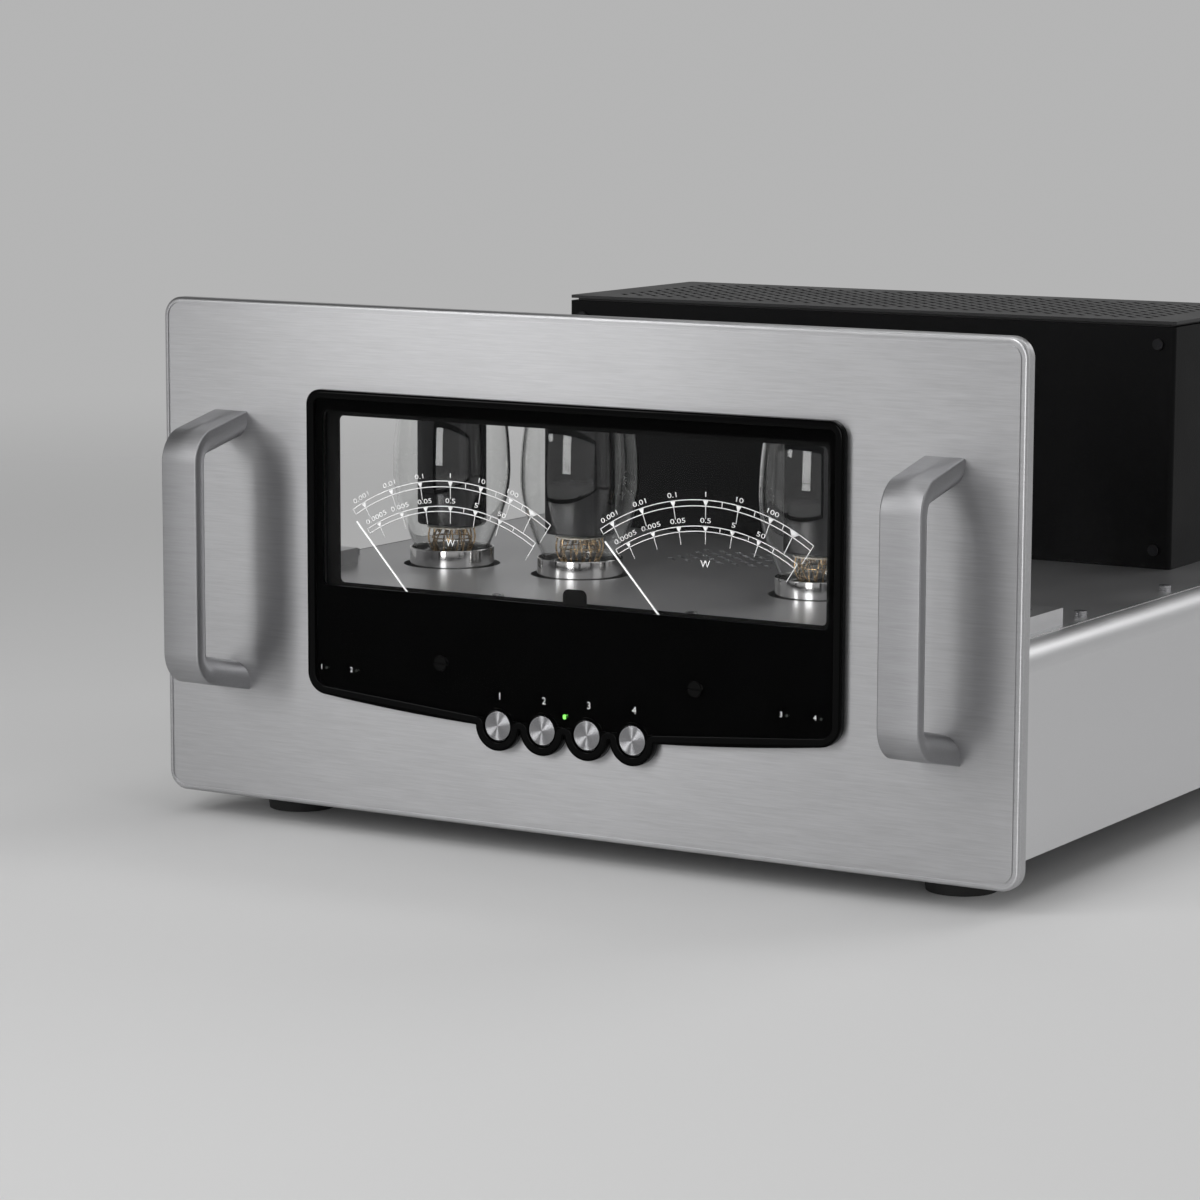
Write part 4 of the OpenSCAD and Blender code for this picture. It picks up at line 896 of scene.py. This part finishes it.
@dataclass
class MeterScale:
    """White scale of one meter: two double arcs with ticks, wedges and plain numbers."""

    centre_drop: float = 21.8 * MM
    outer: ScaleArc = ScaleArc((103.5 * MM, 100.6 * MM), 34.0, (-30.0, -20.0, -10.0, 0.0, 10.0, 20.0),
                               ("0.001", "0.01", "0.1", "1", "10", "100"))
    inner: ScaleArc = ScaleArc((91.0 * MM, 88.5 * MM), 32.8, (-28.0, -18.6, -9.3, 0.0, 9.3, 18.6),
                               ("0.0005", "0.005", "0.05", "0.5", "5", "50"))
    part_ticks: tuple[float, ...] = (5.0, 15.0, 24.0)
    zone: float = 27.6
    line_w: float = 0.42 * MM
    tick_l: float = 6 * MM
    end_l: float = 8 * MM
    wedge_w: float = 3 * MM
    number_h: float = 3.4 * MM
    number_wide: float = 1.5
    number_gap: float = 2.8 * MM
    unit_h: float = 5 * MM
    unit_r: float = 73 * MM
    ink_t: float = 0.04 * MM
    arc_steps: int = 90

    def _band(self, radius: float, reach: float) -> np.ndarray:
        """Corners of one arc line: x = r sin a, y = r cos a, over two radii and all angles."""
        angle = np.radians(np.linspace(-reach, reach, self.arc_steps))[None, :]
        width = np.array([[radius + self.line_w / 2], [radius - self.line_w / 2]])
        return np.stack([width * np.sin(angle), width * np.cos(angle), 0 * width * angle], axis=-1)

    def _spokes(self, angles: Sequence[float], high: float, low: float, wide: float,
                narrow: float) -> list[Surface]:
        """Straight marks on radii, from one width at the high end to another at the low end."""
        a = np.radians(np.asarray(angles))[:, None, None]
        r = np.array([[high, high], [low, low]])[None]
        s = np.array([[-wide, wide], [-narrow, narrow]])[None] / 2
        corners = [r * np.sin(a) + s * np.cos(a), r * np.cos(a) - s * np.sin(a), 0 * r * a]
        return [Surface.grid(mark) for mark in np.stack(corners, axis=-1)]

    def _numbers(self, ring: ScaleArc) -> list[Surface]:
        """Numbers over the ticks, each upright on its radius."""
        made = []
        for lean, text in zip(np.radians(ring.ticks), ring.numbers):
            flat = words(text, self.number_h)
            u = self.number_wide * flat.points[:, 0]
            v = flat.points[:, 1] + ring.radii[0] + self.number_gap
            c, s = math.cos(lean), math.sin(lean)
            made.append(Surface(np.column_stack([u * c + v * s, v * c - u * s, 0 * u]), flat.faces))
        return made

    def _drawing(self) -> Surface:
        """The whole drawing about the arcs' centre, in X and Y."""
        line, half = self.line_w, self.line_w / 2
        marks: list[Surface] = []
        for ring in (self.outer, self.inner):
            high, low = ring.radii
            marks += [Surface.grid(self._band(radius, ring.reach)) for radius in ring.radii]
            marks += self._spokes(ring.ticks, high, low, self.wedge_w, line)
            marks += self._spokes(ring.ticks, low, low - self.tick_l, line, line)
            marks += self._spokes(self.part_ticks, high, low, line, line)
            marks += self._spokes((ring.reach,), high + half, low - self.end_l, line, line)
            marks += self._spokes((-ring.reach,), high + half, low - half, line, line)
            marks += self._numbers(ring)
        marks += self._spokes((self.zone,), *self.outer.radii, 2 * self.wedge_w, 2 * line)
        marks += self._spokes((self.zone,), self.outer.radii[1], self.inner.radii[0], line, line)
        unit = words("W", self.unit_h)
        marks.append(Surface(unit.points + self.unit_r * Y_AXIS, unit.faces))
        return Surface.joined(marks)

    def build(self) -> None:
        """Print the same drawing over both needles' pivots."""
        drawing = self._drawing()
        face_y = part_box("scale_plate")[0].y
        for side in Side:
            pivot = middle(f"{side.name.lower()}_movement")
            print_on = on_front(drawing, pivot.x, pivot.z - self.centre_drop, face_y)
            thicken(print_on.piece(f"{side.name.lower()}_scale_print", SCALE_INK, outward=False), self.ink_t)


@dataclass
class Labels:
    """Plain numerals over the buttons and beside the small lamps, printed behind the pane."""

    button_rise: float = 14.5 * MM
    button_number_h: float = 5 * MM
    lamp_number_h: float = 3.6 * MM
    lamp_gap: float = 4 * MM
    lamp_xs: tuple[float, ...] = (-139.9 * MM, -121.9 * MM, 121.9 * MM, 139.9 * MM)
    lamp_z: float = 84 * MM
    ink_t: float = 0.04 * MM

    def build(self) -> None:
        """Join the numerals into one print on the fascia's backing."""
        face_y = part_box("window_pane")[1].y
        parts = []
        for i in BUTTONS:
            at = middle(f"button_{i}")
            parts.append(on_front(words(str(i), self.button_number_h), at.x, at.z + self.button_rise, face_y))
            lamp_x = self.lamp_xs[i - 1] - self.lamp_gap
            parts.append(on_front(words(str(i), self.lamp_number_h), lamp_x, self.lamp_z, face_y))
        thicken(Surface.joined(parts).piece("fascia_numerals", LABEL_INK, outward=False), self.ink_t)


@dataclass
class ButtonCaps:
    """Four push buttons with turned faces: fine rings, a rounded edge and a stem."""

    ring_pitch: float = 0.26 * MM
    ring_slope: float = 0.66
    points_per_ring: int = 6
    plain_edge: float = 0.7 * MM
    edge_r: float = 0.5 * MM
    cap_t: float = 1.5 * MM
    stem_r: float = 3.5 * MM
    edge_steps: int = 8
    steps: int = 96

    def build(self) -> None:
        """Turn the section round each button's axis, which runs along Y."""
        for i in BUTTONS:
            node = f"button_{i}"
            low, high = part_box(node)
            section = self._section(high.x - low.x, high.y - low.y)
            turned = Surface.revolve(section, (0, 0, 0), self.steps)
            x, y, z = turned.points.T
            centre = (low + high) / 2
            placed = np.column_stack([centre.x + x, low.y + z, centre.z + y])
            Surface(placed, turned.faces).piece(f"turned_{node}", SPUN_METAL, body=node, replaces=(node,))

    def _section(self, diameter: float, length: float) -> np.ndarray:
        """Radius and depth from the face's middle, over the edge, to the stem's end.

        The face's depth is a sine of the radius, whose amplitude gives the wanted slope.
        """
        radius = diameter / 2
        face_r = radius - self.plain_edge
        rings = round(face_r / self.ring_pitch)
        r = np.linspace(0.0, face_r, rings * self.points_per_ring + 1)
        deep = self.ring_slope * self.ring_pitch / (2 * math.pi)
        face = np.column_stack([r, deep * (1 - np.cos(2 * math.pi * r / self.ring_pitch))])
        edge = arc((radius - self.edge_r, self.edge_r), self.edge_r, -QUARTER, 0.0, self.edge_steps)
        back = [[radius, self.cap_t], [self.stem_r, self.cap_t], [self.stem_r, length], [0.0, length]]
        return np.vstack([face, edge, back])


@dataclass
class PowerTubes:
    """Four large tubes: glass bulb, plated base, oval anode, mica discs, rods and lead wires."""

    wall: float = 1.2 * MM
    index: float = 1.46
    neck_r: float = 20.05 * MM
    wide_h: float = 50 * MM
    neck_h: float = 10 * MM
    foot_round: float = 2 * MM
    base_h: float = 9 * MM
    base_sink: float = 4 * MM
    base_r: float = 22.25 * MM
    base_wall: float = 1.0 * MM
    cup_r: float = 20.35 * MM
    base_round: float = 0.45 * MM
    cup_drop: float = 0.6 * MM
    pins: int = 8
    pin_l: float = 10 * MM
    pin_parts: tuple[float, ...] = (0.0, 0.9, 1.0)
    pin_r: float = 1.2 * MM
    pin_ring_r: float = 9 * MM
    anode_low: float = 21 * MM
    anode_high: float = 96 * MM
    anode_half_x: float = 17 * MM
    anode_bulge: float = 0.5
    anode_half_y: float = 11.5 * MM
    anode_steps: int = 144
    anode_rows: int = 24
    end_share: float = 0.94
    end_rise: float = 0.015
    ribs: int = 8
    rib_cut: float = 0.6
    rib_depth: float = 0.5 * MM
    flange_l: float = 3.4 * MM
    flange_t: float = 0.7 * MM
    flange_inset: float = 2 * MM
    disc_r: float = 21.5 * MM
    shield_r: float = 13 * MM
    shield_gap: float = 1.6 * MM
    leads: int = 16
    lead_steps: int = 12
    lead_start: float = 0.3
    lead_lift: float = 0.4 * MM
    lead_spread: tuple[float, float] = (-2 * MM, 2.4 * MM)
    lead_bow: float = 2 * MM
    lead_twist: float = 0.25
    lead_stray: float = 2.7
    tie_r: float = 10.5 * MM
    tie_h: float = 14 * MM
    tie_t: float = 0.7 * MM
    disc_t: float = 0.6 * MM
    teeth: int = 28
    tooth: float = 0.02
    tooth_steps: int = 8
    wire_r: float = 0.45 * MM
    rod_r: float = 0.9 * MM
    rod_over: float = 5 * MM
    rod_xs: tuple[float, ...] = (-8 * MM, -3 * MM, 3 * MM, 8 * MM)
    getter_r: float = 8 * MM
    getter_rise: float = 10 * MM
    getter_t: float = 1.6 * MM
    ring_round: float = 0.45
    ring_steps: int = 40
    round_steps: int = 6
    bulb_steps: int = 40
    turn_steps: int = 96

    def build(self) -> None:
        """Make the four tubes."""
        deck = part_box("deck_plate")[1].z
        feet = []
        for i in TUBES:
            low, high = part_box(f"tube_bulb_{i}")
            feet.append(np.array([(low.x + high.x) / 2, (low.y + high.y) / 2, deck]))
            self._bulb(i, feet[-1], low, high)
            self._electrodes(i, feet[-1])
        bases = [part for foot in feet for part in self._base(foot)]
        Surface.joined(bases).piece("plated_tube_bases", CHROME, replaces=("tube_bases",))
        Surface.joined(map(self._cup, feet)).piece("tube_base_cups", BASE_CEMENT)

    def _bulb(self, i: int, foot: np.ndarray, low: Vector, high: Vector) -> None:
        """Outer and inner wall of one bulb, the inner one facing the hollow."""
        size = (low.z - foot[2], high.z - foot[2], (high.x - low.x) / 2)
        walls = [Surface.revolve(self._wall(size, t)[::order], foot, self.turn_steps)
                 for t, order in ((0.0, 1), (self.wall, -1))]
        glass = TubeGlass("tube_glass", "tube_glass", GLASS_TINT, index=self.index, top=high.z)
        Surface.joined(walls).piece(f"blown_bulb_{i}", glass, replaces=(f"tube_bulb_{i}",), outward=False)

    def _wall(self, size: tuple[float, float, float], t: float) -> np.ndarray:
        """Half section: flat foot, quarter sine from neck to widest place, quarter ellipse to the top."""
        low, high, wide = size
        part = np.linspace(0.0, 1.0, self.bulb_steps)
        rise, run = np.sin(part * QUARTER), np.cos(part * QUARTER)
        belly = np.column_stack([self.neck_r - t + (wide - self.neck_r) * rise,
                                 self.neck_h + (self.wide_h - self.neck_h) * part])
        dome = np.column_stack([(wide - t) * run, self.wide_h + (high - t - self.wide_h) * rise])
        foot = arc((self.neck_r - t - self.foot_round, low + t + self.foot_round), self.foot_round,
                   -QUARTER, 0.0, self.round_steps)
        dome[-1, 0] = 0.0
        return np.vstack([[0.0, low + t], foot, belly, dome[1:]])

    def _base(self, foot: np.ndarray) -> list[Surface]:
        """Plated ring with a rounded upper edge, and the pins under it."""
        low, r, inner, ease = -self.base_sink, self.base_r, self.base_r - self.base_wall, self.base_round
        edge, lip = (arc((x, self.base_h - ease), ease, start, start + QUARTER, self.round_steps)
                     for x, start in ((r - ease, 0.0), (inner + ease, QUARTER)))
        section = np.vstack([[inner, low], [r, low], edge, lip])
        parts = [Surface.revolve(section, foot, self.turn_steps, closed=True)]
        depths = low - self.pin_l * np.array(self.pin_parts)
        for place in circle(self.pin_ring_r, self.pins):
            path = foot + np.column_stack([np.tile(place, (len(depths), 1)), depths])
            parts.append(Surface.rod(path, self.pin_r))
        return parts

    def _cup(self, foot: np.ndarray) -> Surface:
        """Black cup between the plated ring and the glass."""
        inner, top, low = self.base_r - self.base_wall, self.base_h - self.cup_drop, -self.base_sink
        section = np.array([[0.0, low], [inner, low], [inner, top], [self.cup_r, top],
                            [self.cup_r, self.base_sink], [0.0, self.base_sink]])
        return Surface.revolve(section, foot, self.turn_steps)

    def _electrodes(self, i: int, foot: np.ndarray) -> None:
        """Anode, mica discs and wires of one tube."""
        self._anode(foot).piece(f"tube_anode_{i}", ANODE_GREY, replaces=(f"tube_plates_{i}",))
        discs = [self._disc(foot, self.anode_low - self.shield_gap, self.shield_r),
                 self._disc(foot, self.anode_high, self.disc_r)]
        Surface.joined(discs).piece(f"tube_micas_{i}", MICA)
        Surface.joined(self._wires(foot)).piece(f"tube_leads_{i}", LEAD_WIRE)

    def _anode(self, foot: np.ndarray) -> Surface:
        """Oval tube with upright ribs and two crimped flanges.

        The section is a superellipse, x = a c^n and y = b s^n with a small n for straight sides, pushed
        out by a narrow rib where a harmonic of the angle peaks, and the ends are turned in.
        """
        angle = turns(self.anode_steps)[None, :]
        rows = np.linspace(self.end_rise, 1 - self.end_rise, self.anode_rows)
        rise = np.concatenate([[0.0, 0.0], rows, [1.0, 1.0]])[:, None]
        shrink = np.concatenate([[0.0, self.end_share], np.ones_like(rows), [self.end_share, 0.0]])[:, None]
        rib = 1 + self.rib_depth / self.anode_half_y * np.clip(np.cos(self.ribs * angle), self.rib_cut, 1.0)
        x, y = (half * np.sign(wave) * np.abs(wave) ** self.anode_bulge * rib * shrink
                for half, wave in ((self.anode_half_x, np.cos(angle)), (self.anode_half_y, np.sin(angle))))
        z = self.anode_low + (self.anode_high - self.anode_low) * rise + 0 * angle
        parts = [Surface.grid(np.stack([x, y, z], axis=-1) + foot, wrap_columns=True)]
        plate = rounded_bar(self.flange_l, self.flange_t, self.flange_t / 3, 3)
        for side in Side:
            path = upright(foot, side.value * (self.anode_half_x + self.flange_l / 3),
                           self.anode_low + self.flange_inset, self.anode_high - self.flange_inset)
            parts.append(Surface.sweep(plate, path))
        return Surface.joined(parts)

    def _disc(self, foot: np.ndarray, low: float, radius: float) -> Surface:
        """Disc with a toothed rim: r = R (1 - t + t cos n a)."""
        steps = self.tooth_steps * self.teeth
        r = radius * (1 - self.tooth + self.tooth * np.cos(self.teeth * turns(steps)))
        return Surface.sweep(r[:, None] * circle(1.0, steps), upright(foot, 0.0, low, low + self.disc_t))

    def _wires(self, foot: np.ndarray) -> list[Surface]:
        """Lead wires bowed from the foot to the lower disc, rods through the discs and the getter ring."""
        part = np.linspace(0.0, 1.0, self.lead_steps)
        low, top = self.base_sink + self.wall + self.lead_lift, self.anode_low - self.shield_gap
        getter_h = self.anode_high + self.getter_rise
        parts = [self._ring(foot, self.tie_r, self.tie_h, self.tie_t)]
        for k, angle in enumerate(turns(self.leads) + self.lead_start):
            spread = self.pin_ring_r + self.lead_spread[k % 2] * part + self.lead_bow * np.sin(math.pi * part)
            twist = angle + self.lead_twist * math.sin(self.lead_stray * k) * part
            path = np.column_stack([spread * np.cos(twist), spread * np.sin(twist), low + (top - low) * part])
            parts.append(Surface.rod(foot + path, self.wire_r))
        for x in self.rod_xs:
            path = upright(foot, x, self.anode_low - self.rod_over, self.anode_high + self.rod_over)
            parts.append(Surface.rod(path, self.rod_r))
        parts.append(self._ring(foot, self.getter_r, getter_h, self.getter_t))
        parts.append(Surface.rod(upright(foot, self.getter_r, self.anode_high, getter_h), self.wire_r))
        return parts

    def _ring(self, foot: np.ndarray, radius: float, height: float, thickness: float) -> Surface:
        """Level ring of round wire."""
        out = np.pad(circle(1.0, self.ring_steps), ((0, 0), (0, 1)))
        section = rounded_bar(thickness, thickness, self.ring_round * thickness)
        return Surface.sweep(section, foot + radius * out + height * Z_AXIS, out, Z_AXIS, closed=True)


@dataclass
class SeamEdges:
    """Bright cut edge of each side sheet along its seam with the deck."""

    radius: float = 0.5 * MM
    sink: float = 0.25 * MM
    inset: float = 1 * MM
    sides: int = 10

    def build(self) -> None:
        """Lay a fine round bead on each seam, from the panel to the back."""
        deck_low, deck_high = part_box("deck_plate")
        ends = (deck_low.y + self.inset, deck_high.y - self.inset)
        beads = []
        for side in Side:
            x = side.value * (deck_high.x + self.radius / 2)
            path = np.array([[x, y, deck_high.z - self.sink] for y in ends])
            beads.append(Surface.sweep(circle(self.radius, self.sides), path, X_AXIS, Z_AXIS))
        Surface.joined(beads).piece("deck_seam_edges", SEAM_METAL)


@dataclass
class DriverTubes:
    """Two small tubes: glass with a drawn tip, twin anodes, mica discs and wires."""

    wall: float = 0.9 * MM
    index: float = 1.42
    end_steps: int = 8
    dome_steps: int = 24
    silver: tuple[float, float] = (11 * MM, 7 * MM)
    foot_r: float = 2.5 * MM
    dome_end: float = math.radians(74)
    tip_start: float = math.radians(20)
    tip_h: float = 3.5 * MM
    tip_r: float = 1.6 * MM
    disc_t: float = 0.5 * MM
    disc_gap: float = 0.8 * MM
    disc_steps: int = 48
    plates_low: float = 9 * MM
    plates_l: float = 29 * MM
    plate_w: float = 7.4 * MM
    plate_d: float = 10.5 * MM
    plate_r: float = 1.6 * MM
    plate_gap: float = 0.5 * MM
    wire_r: float = 0.4 * MM
    wire_ring_r: float = 5.5 * MM
    wire_places: int = 10
    wires: int = 9
    gather: float = 0.8

    def build(self) -> None:
        """Make both tubes as one set of glass, one of anodes, one of discs and one of wires."""
        low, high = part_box("driver_bulbs")
        radius, height = (high.y - low.y) / 2, high.z - low.z
        feet = [np.array([side.value * (high.x - radius), (low.y + high.y) / 2, low.z]) for side in Side]
        glass = [Surface.revolve(self._wall(radius, height, t)[::order], foot)
                 for foot in feet for t, order in ((0.0, 1), (self.wall, -1))]
        finish = TubeGlass("driver_glass", "tube_glass", GLASS_TINT, index=self.index, top=high.z,
                           fade=self.silver)
        anodes = [part for foot in feet for part in self._anodes(foot)]
        micas = [part for foot in feet for part in self._discs(foot, radius)]
        wires = [part for foot in feet for part in self._wires(foot)]
        Surface.joined(glass).piece("blown_driver_bulbs", finish, replaces=("driver_bulbs",), outward=False)
        Surface.joined(anodes).piece("driver_anodes", ANODE_GREY, replaces=("driver_plates",))
        Surface.joined(micas).piece("driver_micas", MICA)
        Surface.joined(wires).piece("driver_leads", LEAD_WIRE)

    def _wall(self, radius: float, height: float, t: float) -> np.ndarray:
        """Half section: round foot, straight side, half-round shoulder and a short tip."""
        foot = arc((radius - self.foot_r, t + self.foot_r), self.foot_r - t, -QUARTER, 0.0, self.end_steps)
        dome = arc((0.0, height - self.tip_h - radius), radius - t, 0.0, self.dome_end, self.dome_steps)
        tip = arc((0.0, height - self.tip_r), self.tip_r - t, self.tip_start, QUARTER, self.end_steps)
        tip[-1, 0] = 0.0
        return np.vstack([[0.0, t], foot, dome, tip])

    def _anodes(self, foot: np.ndarray) -> list[Surface]:
        """Two boxes with rounded edges side by side."""
        section = rounded_bar(self.plate_w, self.plate_d, self.plate_r)
        low, high = self.plates_low + self.disc_t, self.plates_low + self.plates_l
        aside = self.plate_w / 2 + self.plate_gap
        return [Surface.sweep(section, upright(foot, side.value * aside, low, high)) for side in Side]

    def _discs(self, foot: np.ndarray, radius: float) -> list[Surface]:
        """Upper and lower disc."""
        rim = circle(radius - self.wall - self.disc_gap, self.disc_steps)
        return [Surface.sweep(rim, upright(foot, 0.0, low, low + self.disc_t))
                for low in (self.plates_low, self.plates_low + self.plates_l)]

    def _wires(self, foot: np.ndarray) -> list[Surface]:
        """Leads on a circle from the glass foot to the lower disc, with one place left free."""
        ends = ((1.0, self.wall), (self.gather, self.plates_low))
        return [Surface.rod(foot + np.array([[x * share, y * share, z] for share, z in ends]), self.wire_r)
                for x, y in circle(self.wire_ring_r, self.wire_places)[:self.wires]]


@dataclass
class Dressing:
    """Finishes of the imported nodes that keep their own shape."""

    def build(self) -> None:
        """Give each shown node its finish."""
        for finish, nodes in NODE_FINISHES:
            for node in nodes.split():
                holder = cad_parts[node]
                holder.data.materials.clear()
                holder.data.materials.append(finish.material())
                log.info("node %s: %s", node, finish.name)


@dataclass(frozen=True)
class Softbox:
    """Flat lamp that faces a point on the object, placed by its direction from the front."""

    name: str
    azimuth: float
    elevation: float
    distance: float
    width: float
    height: float
    radiance: float

    def build(self, target: Vector) -> None:
        """Hang the lamp: azimuth turns from the front to the right, elevation is above the floor."""
        a, e = math.radians(self.azimuth), math.radians(self.elevation)
        out = Vector((math.sin(a) * math.cos(e), -math.cos(a) * math.cos(e), math.sin(e)))
        lamp = bpy.data.lights.new(self.name, "AREA")
        lamp.shape, lamp.size, lamp.size_y = "RECTANGLE", self.width, self.height
        lamp.energy = self.radiance * math.pi * self.width * self.height
        holder = add_object(self.name, lamp)
        holder.location = target + out * self.distance
        holder.rotation_euler = (-out).to_track_quat("-Z", "Y").to_euler()
        holder.visible_camera = False


@dataclass
class Studio:
    """Pale floor, soft lamps, plain world and the camera."""

    floor_colour: Colour = (0.74, 0.74, 0.74)
    floor_shade: float = 0.985
    floor_scale: float = 3.0
    floor_roughness: float = 0.9
    floor_specular: float = 0.02
    floor_r: float = 2.6
    floor_fade: tuple[float, float] = (0.45, 2.4)
    floor_steps: int = 96
    horizon_colour: Colour = (0.46, 0.46, 0.46)
    zenith_colour: Colour = (0.13, 0.13, 0.13)
    overhead: tuple[float, float] = (0.03, 0.6)
    lens: float = 119.32
    sensor: float = 36.0
    clip: tuple[float, float] = (0.05, 200.0)
    camera_place: tuple[float, float, float] = (0.99047, -1.61836, 0.40632)
    yaw: float = 31.002
    pitch: float = 8.321
    roll: float = -0.18
    bounces: int = 28
    clear_bounces: int = 40
    target: tuple[float, float, float] = (0.0, -0.1, 0.14)
    lamps: tuple[Softbox, ...] = (
        Softbox("key_softbox", -32.8, 22.0, 2.3, 0.38, 1.3, 4.4),
        Softbox("front_softbox", 3.5, 15.0, 2.2, 0.62, 1.4, 4.7),
        Softbox("brow_softbox", -9.0, 46.0, 2.3, 0.8, 0.7, 4.0),
        Softbox("right_softbox", 86.0, 26.0, 2.4, 1.6, 1.2, 1.0),
        Softbox("rim_softbox", 148.0, 36.0, 2.4, 1.2, 1.0, 2.2),
        Softbox("top_softbox", 90.0, 84.0, 2.3, 2.2, 2.2, 1.1),
    )

    def build(self) -> None:
        """Set the stage."""
        self._floor()
        self._world()
        self._camera()
        for lamp in self.lamps:
            lamp.build(Vector(self.target))
        scene = bpy.context.scene
        scene.view_settings.view_transform = "Standard"
        scene.cycles.max_bounces = self.bounces
        scene.cycles.transmission_bounces = self.bounces
        scene.cycles.transparent_max_bounces = self.clear_bounces

    def _floor(self) -> None:
        """Round matt floor that fades into the world's colour."""
        graph = Graph(bpy.data.materials.new("studio_floor"))
        matt = graph.surface({
            "Base Color": graph.tone(graph.noise(self.floor_scale), self.floor_colour, self.floor_shade),
            "Roughness": self.floor_roughness,
            "Specular IOR Level": self.floor_specular,
        })
        clear = graph.node("ShaderNodeBsdfTransparent")
        material = graph.close(graph.blend(graph.radius().ramp(*self.floor_fade), matt, clear))
        rim = np.pad(circle(self.floor_r, self.floor_steps), ((0, 0), (0, 1)))
        mesh = bpy.data.meshes.new("studio_floor")
        mesh.from_pydata(rim.tolist(), [], [list(range(self.floor_steps))])
        mesh.materials.append(material)
        floor = add_object("studio_floor", mesh)

    def _world(self) -> None:
        """World that is pale round the horizon and darker overhead."""
        graph = Graph(bpy.data.worlds.new("studio_world"))
        direction = graph.node("ShaderNodeTexCoord", output="Generated")
        height = graph.node("ShaderNodeSeparateXYZ", None, {0: direction}, "Z")
        shade = graph.mix(height.ramp(*self.overhead), self.horizon_colour, self.zenith_colour)
        bpy.context.scene.world = graph.close(graph.node("ShaderNodeBackground", None, {"Color": shade}))

    def _camera(self) -> None:
        """Camera placed from the panel's front face, turned by yaw, pitch and roll."""
        yaw, pitch, roll = (math.radians(a) for a in (self.yaw, self.pitch, self.roll))
        data = bpy.data.cameras.new("camera")
        data.lens, data.sensor_width = self.lens, self.sensor
        data.clip_start, data.clip_end = self.clip
        camera = add_object("camera", data)
        panel_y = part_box("front_panel")[0].y
        place = Vector(self.camera_place) + Vector((0.0, panel_y, 0.0))
        camera.matrix_world = (Matrix.Translation(place) @ Matrix.Rotation(yaw, 4, "Z")
                               @ Matrix.Rotation(QUARTER - pitch, 4, "X") @ Matrix.Rotation(-roll, 4, "Z"))
        bpy.context.scene.camera = camera


def main() -> None:
    """Build the stage and the pieces in order."""
    logging.basicConfig(level=logging.INFO, format="%(name)s: %(message)s")
    makers = [Studio(), Dressing(), Handles(), FasciaBead(), MeterScale(), Labels(), ButtonCaps(),
              PowerTubes(), DriverTubes(), SeamEdges()]
    for maker in makers:
        log.info("building %s", type(maker).__name__)
        maker.build()


if __name__ == "__main__":
    main()
